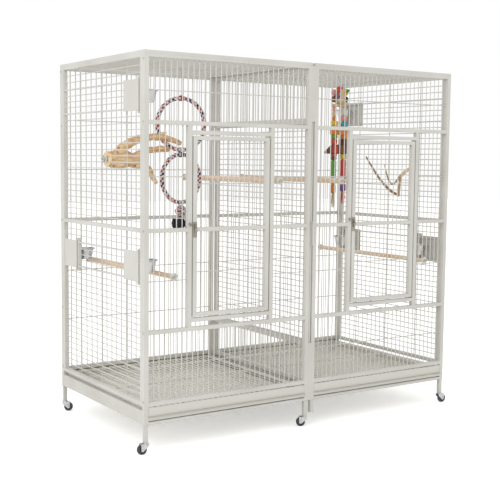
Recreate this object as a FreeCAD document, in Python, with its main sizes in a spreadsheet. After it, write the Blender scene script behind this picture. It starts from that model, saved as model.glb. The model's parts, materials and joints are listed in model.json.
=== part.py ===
"""Double parrot cage: two wire cages side by side on one set of casters, with a slide-out divider.

Millimetres. X runs along the front, Y from the front to the back, Z up. The origin is on the floor,
below the middle of the cage.
"""
import FreeCAD, Part
import os
import re
import Sketcher
from FreeCAD import Placement, Rotation, Vector

SIZES = {
    # the whole cage
    "module_width": 805,  # one of the two cages, over its posts
    "depth": 813,  # over the front and back posts
    "total_height": 1580,  # floor to the top of the roof
    "slot": 16,  # between the two cages, where the divider slides
    "post": 19,  # square tube of posts, stiles and jambs
    "rail": 16,  # height of the rails
    "top_rail": 12,  # height of the panels' top rails
    "roof_rail": 13,  # height of the roof's frame
    "wire": 4,
    "wire_pitch": 25.4,  # aimed spacing of the wires
    "weld_gap": 0.1,  # between crossing wires
    # heights above the floor
    "base_bottom": 115,
    "floor_height": 190,  # underside of the panels' bottom rails
    "lower_rail_height": 484,
    "mid_rail_height": 885,
    "upper_rail_height": 1307,
    # front doors and their latches
    "door_opening": 380,
    "door_margin": 36,  # from a cross rail to the door's own frame
    "door_gap": 5,
    "pivot": 8,
    "pivot_depth": 12,
    "running_fit": 0.05,  # radial
    "latch_plate": 1.5,
    "latch_plate_width": 18,
    "latch_plate_height": 62,
    "latch_rise": 18,  # pivot above the middle of the plate
    "tongue": 9,  # width of the latch's tongue
    "tongue_length": 30,
    "tongue_thickness": 3,
    "latch_stud": 4,
    "latch_knob": 7,
    "latch_knob_length": 6,
    "keeper_lip": 2,
    "keeper_width": 10,
    "keeper_set": 14.5,  # its far edge from the door's opening
    "clearance": 0.3,  # between pieces that move past each other
    # feeder doors in the side panels
    "feeder_low": 143,  # middle of the lower doors below the mid rail
    "feeder_high": 168,  # middle of the upper doors below the top
    "feeder_width": 115,
    "feeder_height": 100,
    "feeder_bar": 6,
    "feeder_bar_depth": 10,
    "feeder_recess": 2,  # frame of the opening behind the tubes' outer face
    "hinge_strip": 16.5,
    "hinge_rod": 4,
    "knuckle": 7,
    "hinge_lug": 8,
    "plate": 1.5,
    "plate_lap": 11,
    "plate_air": 0.5,  # between the shut plate and the opening's frame
    "cup_wire": 3.5,
    "cup_inset": 61,  # from the hinge to the cup's middle, into the cage
    "cup_offset": 41,  # and along the plate
    "cup_radius": 41,
    "arm_spread": 28,  # each arm from the cup's middle, along the plate
    "arm_end": 29,  # the arms' ends from the cup's middle, towards the plate
    "cup_rise": 20,
    "bowl_rim": 44,
    "bowl_mouth": 38,
    "bowl_foot": 28,
    "bowl_depth": 48,
    "bowl_wall": 1.2,
    # slide-out divider
    "divider_bottom": 371,
    "divider_top": 1330,
    "divider_bar": 12,
    "divider_thickness": 8,
    "divider_stay": 2.4,
    "divider_recess": 4,  # behind the front of the posts
    "guide_gap": 1,  # beside the divider
    "divider_rail": 16,
    "guide": 3,
    "guide_height": 9,
    "pull_length": 104,
    "pull_reach": 13,
    "pull_bar": 6,
    # base, drawers and legs
    "sill": 13,
    "sheet": 1.5,
    "apron_height": 54,
    "apron_rise": 4,
    "runner": 2,
    "drawer_gap": 1,
    "tray_rise": 5,  # the tray's front above the sill
    "tray_height": 17,
    "tray_lip": 8,
    "grate_front": 34,
    "grate_bar": 10,
    "grate_drop": 8,  # top of the grate's bars below the panels
    "leg": 16,
    "stub_rise": 8,  # legs without a caster end higher
    # casters
    "caster_height": 50,
    "wheel_diameter": 40,
    "wheel_width": 16,
    "wheel_hub": 7,
    "caster_trail": 16,
    "axle": 5,
    "fork_wall": 2,
    "fork_plate": 2.5,
    "fork_gap": 1,
    "tread_edge": 18.6,  # radii of the wheel's section
    "tread_inside": 15.2,
    "web_outside": 14,
    "web": 4.4,  # half of its thickness
    "tread_flat": 4,
    "kingpin": 6,
    "kingpin_head": 9,
    "raceway": 22,
    # perches and their fasteners
    "perch_high": 3.5,  # upper perches below the cross wires beside the doors
    "perch_low": 3,  # lower perches above theirs
    "perch_thick": 25,
    "perch_thin": 21,
    "perch_bolt": 6,
    "perch_washer": 32,
    "washer": 2,
    "wing_nut": 18.4,
    # furnishings: branches bolted to the side panels, toys hung from the roof
    "branch_place": -45,
    "branch_reach": 350,
    "twig_place": -190,
    "twig_reach": 317,
    "hanger": 3,
    "link_radius": 10,
    "link_wire": 4,
    "rope": 20,
    "rope_top": 131,  # below the top of the roof
    "rope_place": -355,
    "upper_ring": 116,
    "lower_ring": 109,
    "knot": 58,
    "collar": 60,
    "collar_height": 5,
    "tassel": 30,
    "tassel_length": 48,
    "tassel_spread": 21,
    "toy_place": 460,
    "toy_top": 55,  # below the top of the roof
    "toy_column": 30,
    "toy_unit": 10,  # the toy's wooden pieces are sized in it
    # bolts that join the panels
    "bolt_head": 9,
    "bolt_head_height": 3,
}

doc = FreeCAD.newDocument("parrot_cage")
sheet = doc.addObject("Spreadsheet::Sheet", "sizes")
for row, (alias, number) in enumerate(SIZES.items(), start=1):
    sheet.set(f"A{row}", alias)
    sheet.set(f"B{row}", str(number))
    sheet.setAlias(f"B{row}", alias)
doc.recompute()

SUB_PARTS = []
WORD = re.compile(r"[a-z][a-z_]*")
UPRIGHT = Rotation()
TURNS = {
    "x": Rotation(Vector(0, 1, 0), 90),
    "y": Rotation(Vector(1, 0, 0), -90),
    "z": UPRIGHT,
}
# turns a row of wires so that they run along the first axis and step along the second
ROWS = {
    ("z", "x"): UPRIGHT,
    ("y", "z"): Rotation(Vector(0, 0, 1), Vector(1, 0, 0), Vector(0, 1, 0), "ZXY"),
    ("y", "x"): Rotation(Vector(1, 0, 0), Vector(0, 0, -1), Vector(0, 1, 0), "ZXY"),
    ("x", "y"): Rotation(Vector(0, 1, 0), Vector(0, 0, 1), Vector(1, 0, 0), "ZXY"),
    ("z", "y"): Rotation(Vector(0, 0, 1), 90),
}

# places that many pieces share
FRONT = "(-depth / 2)"
BACK = "(depth / 2)"
SIDE = "(-module_width - slot / 2)"
TOP = "(total_height - roof_rail)"
MODULES = {"left": SIDE, "right": "slot / 2"}
INNER = "(module_width - 2 * post)"
STEP = f"({INNER} / round({INNER} / wire_pitch))"
COUNT = f"(round({INNER} / wire_pitch) - 1)"
STRIP = "((module_width - door_opening) / 2 - 2 * post)"
STRIP_COUNT = f"floor(({STRIP} - wire) / {STEP})"
DOOR_LEFT = "((module_width - door_opening) / 2)"
DOOR_RIGHT = "((module_width + door_opening) / 2)"
FRAME_LOW = "(lower_rail_height + door_margin + rail / 2)"
FRAME_HIGH = "(upper_rail_height - door_margin - rail / 2)"
WIRE_PLANE = "(-depth / 2 + post / 2)"
CROSS_PLANE = "(-depth / 2 + post / 2 + wire + weld_gap)"
CROSS_LOW = "((mid_rail_height + lower_rail_height) / 2)"
CROSS_HIGH = "((mid_rail_height + upper_rail_height) / 2)"
FEEDER_LOW = "(mid_rail_height - feeder_low)"
FEEDER_HIGH = "(total_height - feeder_high)"
FEEDER_AXIS = "(feeder_recess - plate_air - knuckle / 2)"


def formula(text):
    """A formula in plain words, with each size looked up in the sheet."""
    return WORD.sub(lambda word: "sizes." + word[0] if word[0] in SIZES else word[0], str(text))


def value(text):
    """The number that a formula gives now, for the first draft of a sketch."""
    return float(sheet.evalExpression(formula(text)))


def bind(piece, **formulas):
    for name, text in formulas.items():
        piece.setExpression(name, formula(text))


def put(piece, x, y, z, turn=UPRIGHT):
    piece.Placement = Placement(Vector(), turn)
    for axis, text in zip("xyz", (x, y, z)):
        piece.setExpression(f"Placement.Base.{axis}", formula(text))
    return piece


def box(name, x, y, z, length, width, height):
    piece = doc.addObject("Part::Box", name)
    bind(piece, Length=length, Width=width, Height=height)
    return put(piece, x, y, z)


def rod(name, x, y, z, length, diameter, axis="z"):
    piece = doc.addObject("Part::Cylinder", name)
    bind(piece, Height=length, Radius=f"({diameter}) / 2")
    return put(piece, x, y, z, TURNS[axis])


def ring(name, x, y, z, radius, thickness, turn=UPRIGHT):
    piece = doc.addObject("Part::Torus", name)
    bind(piece, Radius1=radius, Radius2=f"({thickness}) / 2")
    return put(piece, x, y, z, turn)


def cut(name, base, tool):
    piece = doc.addObject("Part::Cut", name)
    piece.Base = base
    piece.Tool = tool
    return piece


def fuse(name, pieces):
    piece = doc.addObject("Part::MultiFuse", name)
    piece.Shapes = pieces
    return piece


def weld(label, pieces, x="0", y="0", z="0", turn=0):
    """A sub-part of the cage: its pieces, moved to their place together."""
    group = doc.addObject("Part::Compound", label)
    group.Label = label
    group.Links = pieces
    put(group, x, y, z, Rotation(Vector(0, 0, 1), turn))
    SUB_PARTS.append(group)
    return group


def origin_plane(body, role):
    return next(plane for plane in body.Origin.OriginFeatures if plane.Role == role)


def sketch_on(body, role, name):
    sketch = body.newObject("Sketcher::SketchObject", name)
    sketch.AttachmentSupport = [(origin_plane(body, role), "")]
    sketch.MapMode = "FlatFace"
    return sketch


def constrain(sketch, text, *constraint):
    index = sketch.addConstraint(Sketcher.Constraint(*constraint, value(text)))
    sketch.setExpression(f"Constraints[{index}]", formula(text))


def outline(sketch, corners):
    """A closed outline of straight lines, each corner held by formulas for its two coordinates."""
    points = [Vector(value(across), value(along), 0) for across, along in corners]
    last = len(corners)
    for index in range(last):
        sketch.addGeometry(Part.LineSegment(points[index], points[(index + 1) % last]))
    for index in range(last):
        sketch.addConstraint(Sketcher.Constraint("Coincident", index, 2, (index + 1) % last, 1))
    for index, (across, along) in enumerate(corners):
        constrain(sketch, across, "DistanceX", -1, 1, index, 1)
        constrain(sketch, along, "DistanceY", -1, 1, index, 1)


def turned(name, corners):
    """A piece turned about its upright axis, from half of its section."""
    body = doc.addObject("PartDesign::Body", name)
    section = sketch_on(body, "XZ_Plane", name + "_section")
    outline(section, corners)
    turn = body.newObject("PartDesign::Revolution", name + "_turn")
    turn.Profile = section
    turn.ReferenceAxis = (section, ["V_Axis"])
    turn.Angle = 360
    return body


def pressed(name, corners, thickness, role="XZ_Plane"):
    """A flat piece of one thickness with a straight-sided outline."""
    body = doc.addObject("PartDesign::Body", name)
    shape = sketch_on(body, role, name + "_outline")
    outline(shape, corners)
    pad = body.newObject("PartDesign::Pad", name + "_pad")
    pad.Profile = shape
    bind(pad, Length=thickness)
    return body


def wires(name, x, y, z, axis, across, length, step=STEP, count=COUNT, thickness="wire"):
    """A row of wires along an axis. The first stands one step from the corner where the row begins."""
    body = doc.addObject("PartDesign::Body", name)
    section = sketch_on(body, "XY_Plane", name + "_section")
    first = Part.Circle(Vector(value(step), 0, 0), Vector(0, 0, 1), value(thickness) / 2)
    section.addGeometry(first)
    section.addConstraint(Sketcher.Constraint("PointOnObject", 0, 3, -1))
    constrain(section, step, "DistanceX", -1, 1, 0, 3)
    constrain(section, thickness, "Diameter", 0)
    pad = body.newObject("PartDesign::Pad", name + "_wire")
    pad.Profile = section
    bind(pad, Length=length)
    row = body.newObject("PartDesign::LinearPattern", name + "_row")
    row.Originals = [pad]
    row.Direction = (section, ["H_Axis"])
    row.Mode = "Spacing"
    bind(row, Offset=step, Occurrences=count)
    body.Tip = row
    return put(body, x, y, z, ROWS[axis, across])


def across_panel(name, z, plane, x="post", length=INNER):
    """A thin wire across a panel, behind its upright wires."""
    return rod(name, x, plane, z, length, "wire", "x")


def front_panels():
    height = f"({TOP} - base_bottom)"
    middle = "(upper_rail_height - lower_rail_height - rail)"
    half_low = "(mid_rail_height - lower_rail_height - rail)"
    half_high = "(upper_rail_height - mid_rail_height - rail)"
    right_strip = f"(module_width - post - {STRIP})"
    axis = "((module_width + door_opening) / 2 - door_gap - post / 2)"
    low, high = "(floor_height + rail)", f"({TOP} - top_rail)"

    def rail_across(name, z, x="post", length=INNER):
        return box(name, x, FRONT, z, length, "post", "rail")

    pieces = [
        box("front_post_left", "0", FRONT, "base_bottom", "post", "post", height),
        box("front_post_right", "module_width - post", FRONT, "base_bottom", "post", "post", height),
        rail_across("front_bottom_rail", "floor_height"),
        rail_across("front_lower_rail", "lower_rail_height - rail / 2"),
        rail_across("front_upper_rail", "upper_rail_height - rail / 2"),
        box("front_top_rail", "post", FRONT, high, INNER, "post", "top_rail"),
        rail_across("front_mid_rail_left", "mid_rail_height - rail / 2", "post", STRIP),
        rail_across("front_mid_rail_right", "mid_rail_height - rail / 2", right_strip, STRIP),
        box("jamb_left", f"{DOOR_LEFT} - post", FRONT, "lower_rail_height + rail / 2",
            "post", "post", middle),
        box("jamb_right", DOOR_RIGHT, FRONT, "lower_rail_height + rail / 2", "post", "post", middle),
        rail_across("door_sill", f"{FRAME_LOW} - rail", DOOR_LEFT, "door_opening"),
        rail_across("door_head", FRAME_HIGH, DOOR_LEFT, "door_opening"),
        rod("pivot_low", axis, WIRE_PLANE, FRAME_LOW, "door_gap + pivot_depth", "pivot"),
        rod("pivot_high", axis, WIRE_PLANE, f"{FRAME_HIGH} - door_gap - pivot_depth",
            "door_gap + pivot_depth", "pivot"),
        wires("front_wires_bottom", "post", WIRE_PLANE, low, "z", "x",
              f"lower_rail_height - rail / 2 - {low}"),
        wires("front_wires_top", "post", WIRE_PLANE, "upper_rail_height + rail / 2", "z", "x",
              f"{high} - upper_rail_height - rail / 2"),
        across_panel("front_cross_bottom", f"(lower_rail_height + {low}) / 2", CROSS_PLANE),
        across_panel("front_cross_top", f"(upper_rail_height + {high}) / 2", CROSS_PLANE),
    ]
    first_right = f"({INNER} - {STRIP_COUNT} * {STEP} - {STEP} + post)"
    for side, start, edge in (("left", "post", "post"), ("right", first_right, right_strip)):
        pieces += [
            wires(f"front_wires_{side}_low", start, WIRE_PLANE, "lower_rail_height + rail / 2", "z", "x",
                  half_low, count=STRIP_COUNT),
            wires(f"front_wires_{side}_high", start, WIRE_PLANE, "mid_rail_height + rail / 2", "z", "x",
                  half_high, count=STRIP_COUNT),
            across_panel(f"front_cross_{side}_low", CROSS_LOW, CROSS_PLANE, edge, STRIP),
            across_panel(f"front_cross_{side}_high", CROSS_HIGH, CROSS_PLANE, edge, STRIP),
        ]
    for side, edge in MODULES.items():
        weld(f"front_panel_{side}", pieces, edge)


def doors():
    left = f"({DOOR_LEFT} + door_gap)"
    width = "(door_opening - 2 * door_gap)"
    low = f"({FRAME_LOW} + door_gap)"
    high = f"({FRAME_HIGH} - door_gap)"
    right = f"({left} + {width} - post)"
    inner = f"({width} - 2 * post)"
    gaps = f"round({inner} / wire_pitch)"
    axis = f"({right} + post / 2)"
    bore = "pivot + 2 * running_fit"
    bores = fuse("pivot_bores", [
        rod("bore_low", axis, WIRE_PLANE, f"{low}", "pivot_depth + clearance", bore),
        rod("bore_high", axis, WIRE_PLANE, f"{high} - pivot_depth - clearance",
            "pivot_depth + clearance", bore),
    ])
    stile = box("door_stile_solid", right, FRONT, low, "post", "post", f"{high} - {low}")
    pieces = [
        box("door_stile_left", left, FRONT, low, "post", "post", f"{high} - {low}"),
        cut("door_stile_right", stile, bores),
    ]
    for name, z in (("bottom", low), ("mid", "mid_rail_height - rail / 2"), ("top", f"{high} - rail")):
        pieces.append(box(f"door_{name}_rail", f"{left} + post", FRONT, z, inner, "post", "rail"))
    halves = (
        ("low", f"({low} + rail)", "(mid_rail_height - rail / 2)"),
        ("high", "(mid_rail_height + rail / 2)", f"({high} - rail)"),
    )
    for name, bottom, top in halves:
        pieces.append(wires(f"door_wires_{name}", f"{left} + post", WIRE_PLANE, bottom, "z", "x",
                            f"{top} - {bottom}", f"({inner} / {gaps})", f"({gaps} - 1)"))
        pieces.append(across_panel(f"door_cross_{name}", f"({bottom} + {top}) / 2", CROSS_PLANE,
                                   f"{left} + post", inner))
    for side, edge in MODULES.items():
        weld(f"door_{side}", pieces, edge)


def latches():
    """A plate with a stud on the door, a tongue that hangs on it, and a hooked keeper on the jamb."""
    middle = f"({DOOR_LEFT} + door_gap + post / 2)"
    face = f"({FRONT} - latch_plate)"
    height = "(mid_rail_height + latch_rise)"
    tongue_back = f"({face} - clearance)"
    stud_end = f"({tongue_back} - tongue_thickness - clearance)"
    plate = box("latch_plate_sheet", f"{middle} - latch_plate_width / 2", face,
                "mid_rail_height - latch_plate_height / 2", "latch_plate_width", "latch_plate",
                "latch_plate_height")
    stud = rod("latch_stud_pin", middle, stud_end, height, f"{face} - {stud_end}", "latch_stud", "y")
    head = rod("latch_stud_head", middle, f"{stud_end} - latch_plate", height, "latch_plate",
               "latch_stud + 3 * latch_plate", "y")
    blank = fuse("tongue_blank", [
        box("tongue_bar", f"{middle} - tongue / 2", f"{tongue_back} - tongue_thickness",
            f"{height} - tongue_length", "tongue", "tongue_thickness", "tongue_length"),
        rod("tongue_eye", middle, f"{tongue_back} - tongue_thickness", height, "tongue_thickness",
            "tongue", "y"),
        rod("tongue_knob", middle, f"{tongue_back} - tongue_thickness - latch_knob_length",
            f"{height} - tongue", "latch_knob_length + tongue_thickness / 2", "latch_knob", "y"),
    ])
    bore = rod("tongue_bore", middle, f"{tongue_back} - 2 * tongue_thickness", height,
               "3 * tongue_thickness", "latch_stud + 2 * running_fit", "y")
    tongue = cut("tongue_bored", blank, bore)
    room = "(tongue / 2 + 1)"
    lip_back = f"({tongue_back} - tongue_thickness - 1)"
    keeper_left = f"({DOOR_LEFT} - keeper_set)"
    keepers = [
        box("keeper_block", keeper_left, f"{lip_back} - keeper_lip", f"{height} + {room}", "keeper_width",
            f"{FRONT} - {lip_back} + keeper_lip", "2 * keeper_lip"),
        box("keeper_lip_plate", keeper_left, f"{lip_back} - keeper_lip", f"{height} - tongue / 3",
            "keeper_width", "keeper_lip", f"{room} + tongue / 3"),
    ]
    for side, edge in MODULES.items():
        weld(f"latch_plate_{side}", [plate, stud, head], edge)
        weld(f"latch_tongue_{side}", [tongue], edge)
        weld(f"latch_keeper_{side}", keepers, edge)


def back_panels():
    face = f"({BACK} - post)"
    plane = f"({BACK} - post / 2)"
    cross = f"({plane} - wire - weld_gap)"
    low, high = "(floor_height + rail)", f"({TOP} - top_rail)"
    height = f"({TOP} - base_bottom)"
    mid_low, mid_high = "(mid_rail_height - rail / 2)", "(mid_rail_height + rail / 2)"
    pieces = [
        box("back_post_left", "0", face, "base_bottom", "post", "post", height),
        box("back_post_right", "module_width - post", face, "base_bottom", "post", "post", height),
        box("back_bottom_rail", "post", face, "floor_height", INNER, "post", "rail"),
        box("back_mid_rail", "post", face, mid_low, INNER, "post", "rail"),
        box("back_top_rail", "post", face, high, INNER, "post", "top_rail"),
    ]
    for name, bottom, top in (("low", low, mid_low), ("high", mid_high, high)):
        pieces.append(wires(f"back_wires_{name}", "post", plane, bottom, "z", "x", f"{top} - {bottom}"))
        for third in (1, 2):
            pieces.append(across_panel(f"back_cross_{name}_{third}",
                                       f"{bottom} + ({top} - {bottom}) * {third} / 3", cross))
    for side, edge in MODULES.items():
        weld(f"back_panel_{side}", pieces, edge)


def side_panels():
    """Level wires between two stiles, with three framed openings that the feeder doors close."""
    stile_front = f"({FRONT} + post)"
    inner_front = f"({FRONT} + 2 * post)"
    inner_back = f"({BACK} - 2 * post)"
    run = "(depth - 4 * post)"
    plane = f"({SIDE} + post / 2)"
    face = f"({SIDE} + feeder_recess)"
    stays = f"({face} + feeder_bar_depth + wire / 2 + weld_gap)"
    low, high = "(floor_height + rail)", f"({TOP} - top_rail)"
    mid_low, mid_high = "(mid_rail_height - rail / 2)", "(mid_rail_height + rail / 2)"
    front_hinge = f"({inner_front} + hinge_strip)"
    front_shut = f"({front_hinge} + feeder_width)"
    back_shut = f"({inner_back} - hinge_strip)"
    back_hinge = f"({back_shut} - feeder_width)"
    strip_height = "(feeder_height + 2 * plate_lap + 2 * hinge_lug + 4 * feeder_recess)"

    def bar(name, y, z, width, height):
        return box(name, face, y, z, "feeder_bar_depth", width, height)

    def hinge(name, y, z):
        """A hinge strip with its rod between two lugs. y is the edge of the opening."""
        axis = f"({y} - hinge_rod)"
        reach = f"({face} - plate_air - knuckle / 2)"
        rod_height = "(feeder_height + 2 * plate_lap + 2)"
        pieces = [
            bar(name + "_strip", f"{y} - hinge_strip", f"{z} - {strip_height} / 2", "hinge_strip",
                strip_height),
            rod(name + "_rod", reach, axis, f"{z} - {rod_height} / 2", rod_height, "hinge_rod"),
        ]
        levels = (("low", f"{z} - {rod_height} / 2 - hinge_lug"), ("high", f"{z} + {rod_height} / 2"))
        for end, level in levels:
            pieces.append(box(f"{name}_lug_{end}", f"{reach} - hinge_rod / 2", f"{axis} - hinge_rod",
                              level, f"{face} - {reach} + hinge_rod / 2", "hinge_rod * 2", "hinge_lug"))
        return pieces

    pieces = [
        box("side_stile_front", SIDE, stile_front, "floor_height", "post", "post", f"{TOP} - floor_height"),
        box("side_stile_back", SIDE, inner_back, "floor_height", "post", "post", f"{TOP} - floor_height"),
        box("side_bottom_rail", SIDE, inner_front, "floor_height", "post", run, "rail"),
        box("side_mid_rail", SIDE, inner_front, mid_low, "post", run, "rail"),
        box("side_top_rail", SIDE, inner_front, high, "post", run, "top_rail"),
    ]
    zones = []
    for name, middle, bottom, top in (("low", FEEDER_LOW, low, mid_low),
                                      ("high", FEEDER_HIGH, mid_high, high)):
        band_low = f"({middle} - feeder_height / 2 - feeder_bar)"
        band_high = f"({middle} + feeder_height / 2 + feeder_bar)"
        pieces += hinge(f"feeder_{name}_front", front_hinge, middle)
        pieces.append(bar(f"feeder_{name}_stop", front_shut, f"{band_low} + feeder_bar", "feeder_bar",
                          "feeder_height"))
        wires_end = inner_back
        runs = [(front_hinge, inner_back)]
        if name == "low":
            pieces += hinge("feeder_low_back", back_hinge, middle)
            pieces.append(bar("feeder_low_back_stop", back_shut, f"{band_low} + feeder_bar",
                              "hinge_strip", "feeder_height"))
            wires_end = f"({back_hinge} - hinge_strip)"
            runs = [(front_hinge, wires_end), (back_hinge, inner_back)]
        for end, level in (("under", band_low), ("over", f"{band_high} - feeder_bar")):
            for number, (start, stop) in enumerate(runs, start=1):
                pieces.append(bar(f"feeder_{name}_bar_{end}_{number}", start, level, f"{stop} - {start}",
                                  "feeder_bar"))
        beside = f"({front_shut} + feeder_bar)"
        zones += [
            (f"{name}_under", inner_front, bottom, band_low, run),
            (f"{name}_beside", beside, f"({band_low} + feeder_bar)", f"({band_high} - feeder_bar)",
             f"{wires_end} - {beside}"),
            (f"{name}_over", inner_front, band_high, top, run),
        ]
        for number, place in (("front", f"{front_shut} + feeder_bar"), ("middle", "0"),
                              ("back", f"{back_hinge} - hinge_strip")):
            pieces.append(rod(f"side_stay_{name}_{number}", stays, place, bottom, f"{top} - {bottom}",
                              "wire"))
    for name, start, bottom, top, length in zones:
        gaps = f"round(({top} - {bottom}) / wire_pitch)"
        pieces.append(wires(f"side_wires_{name}", plane, start, bottom, "y", "z", length,
                            f"(({top} - {bottom}) / {gaps})", f"({gaps} - 1)"))
    weld("side_panel_left", pieces)
    weld("side_panel_right", pieces, turn=180)


def roofs():
    run = "(depth - 2 * post)"
    gaps = f"round({run} / wire_pitch)"
    level = f"({TOP} + roof_rail / 2)"
    pieces = [
        box("roof_front_rail", "0", FRONT, TOP, "module_width", "post", "roof_rail"),
        box("roof_back_rail", "0", f"{BACK} - post", TOP, "module_width", "post", "roof_rail"),
        box("roof_left_rail", "0", f"{FRONT} + post", TOP, "post", run, "roof_rail"),
        box("roof_right_rail", "module_width - post", f"{FRONT} + post", TOP, "post", run, "roof_rail"),
        wires("roof_wires", "post", f"{FRONT} + post", level, "x", "y", INNER, f"({run} / {gaps})",
              f"({gaps} - 1)"),
        wires("roof_stays", "post", f"{FRONT} + post", f"{level} - wire - weld_gap", "y", "x", run,
              f"({INNER} / 4)", "3"),
    ]
    for side, edge in MODULES.items():
        weld(f"roof_panel_{side}", pieces, edge)


def dividers():
    """Fixed barriers above and below, and between them a panel that slides out at the front."""
    start = f"({FRONT} + post)"
    run = "(depth - 2 * post)"
    gaps = f"round({run} / wire_pitch)"
    half = "(divider_rail / 2)"

    def barrier(name, joint, bottom, top, guide_level):
        """joint is where the strips that join the two cages' posts begin."""
        pieces = [
            box(f"{name}_top_rail", f"-{half}", start, f"{top} - divider_rail", "divider_rail", run,
                "divider_rail"),
            box(f"{name}_bottom_rail", f"-{half}", start, bottom, "divider_rail", run, "divider_rail"),
            wires(f"{name}_wires", "0", start, f"{bottom} + divider_rail", "z", "y",
                  f"{top} - {bottom} - 2 * divider_rail", f"({run} / {gaps})", f"({gaps} - 1)"),
        ]
        inside = "(divider_thickness / 2 + guide_gap)"
        for side, place in (("left", f"-{inside} - guide"), ("right", inside)):
            pieces.append(box(f"{name}_guide_{side}", place, start, guide_level, "guide", run,
                              "guide_height"))
        for end, place in (("front", FRONT), ("back", f"{BACK} - post")):
            pieces.append(box(f"{name}_joiner_{end}", "-slot / 2", place, joint, "slot", "post",
                              f"{top} - {joint}"))
        weld(name, pieces)

    barrier("divider_lower_barrier", "base_bottom", "floor_height", "(divider_bottom - clearance)",
            "divider_bottom - clearance")
    barrier("divider_upper_barrier", "(divider_top + clearance)", "(divider_top + clearance)", TOP,
            "divider_top + clearance - guide_height")

    edge = "(divider_thickness / 2)"
    height = "(divider_top - divider_bottom)"
    front = f"({FRONT} + divider_recess)"
    length = "(depth - post - slot / 2 - divider_recess)"
    inside = f"({length} - 2 * divider_bar)"
    rows = f"round(({height} - 2 * divider_bar) / wire_pitch)"
    stay_side = "(wire / 2 + divider_stay / 2 + weld_gap)"
    middle = "((divider_bottom + divider_top) / 2)"
    pieces = []
    for name, y in (("front", front), ("back", f"{front} + {length} - divider_bar")):
        pieces.append(box(f"divider_{name}_bar", f"-{edge}", y, "divider_bottom", "divider_thickness",
                          "divider_bar", height))
    for name, z in (("bottom", "divider_bottom"), ("top", "divider_top - divider_bar")):
        pieces.append(box(f"divider_{name}_bar", f"-{edge}", f"{front} + divider_bar", z,
                          "divider_thickness", inside, "divider_bar"))
    pieces.append(wires("divider_wires", "0", f"{front} + divider_bar", "divider_bottom + divider_bar",
                        "y", "z", inside, f"(({height} - 2 * divider_bar) / {rows})", f"({rows} - 1)"))
    for number in (1, 2):
        pieces.append(rod(f"divider_stay_{number}", stay_side,
                          f"{front} + divider_bar + {inside} * {number} / 3",
                          "divider_bottom + divider_bar", f"{height} - 2 * divider_bar", "divider_stay"))
    grip = f"({FRONT} - pull_reach)"
    pieces.append(box("divider_pull", "-pull_bar / 2", grip, f"{middle} - pull_length / 2", "pull_bar",
                      "pull_bar", "pull_length"))
    feet = (("low", f"{middle} - pull_length / 2"), ("high", f"{middle} + pull_length / 2 - pull_bar"))
    for name, z in feet:
        pieces.append(box(f"divider_pull_{name}", "-pull_bar / 2", f"{grip} + pull_bar", z, "pull_bar",
                          "pull_reach - pull_bar + divider_recess", "pull_bar"))
    weld("sliding_divider", pieces)


def bases():
    """Sills, side aprons and the runners that carry the tray and the floor grate."""
    start = f"({FRONT} + post)"
    run = "(depth - 2 * post)"
    tray_level = "(base_bottom + sill + tray_rise)"
    grate_level = "(floor_height - grate_drop - grate_bar)"
    shelf = "(post + post / 2 - sheet)"
    pieces = [
        box("front_sill", "post", FRONT, "base_bottom", INNER, "post", "sill"),
        box("back_sill", "post", f"{BACK} - post", "base_bottom", INNER, "post", "sill"),
        box("back_apron", "post", f"{BACK} - sheet", "base_bottom + sill", INNER, "sheet",
            "floor_height - base_bottom - sill"),
    ]
    for side, apron, ledge in (("left", "0", "sheet"),
                               ("right", "module_width - sheet", f"module_width - sheet - {shelf}")):
        pieces.append(box(f"apron_{side}", apron, start, "base_bottom + apron_rise", "sheet", run,
                          "apron_height"))
        for name, level in (("tray", tray_level), ("grate", grate_level)):
            pieces.append(box(f"{name}_runner_{side}", ledge, start, f"{level} - clearance - runner",
                              shelf, run, "runner"))
    legs = {}
    for name, foot in (("leg", "caster_height"), ("stub", "(caster_height + stub_rise)")):
        for side, x in (("left", "post / 2 - leg / 2"), ("right", "module_width - post / 2 - leg / 2")):
            for end, y in (("front", f"{FRONT} + post / 2"), ("back", f"{BACK} - post / 2")):
                legs[name, side, end] = box(f"{name}_{side}_{end}", x, f"{y} - leg / 2", foot, "leg",
                                            "leg", f"base_bottom - {foot}")
    for side, edge in MODULES.items():
        inner = "leg" if side == "left" else "stub"
        kinds = {"left": "leg", "right": inner} if side == "left" else {"left": inner, "right": "leg"}
        chosen = [legs[kinds[hand], hand, end] for hand in ("left", "right") for end in ("front", "back")]
        weld(f"base_{side}", pieces + chosen, edge)


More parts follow.
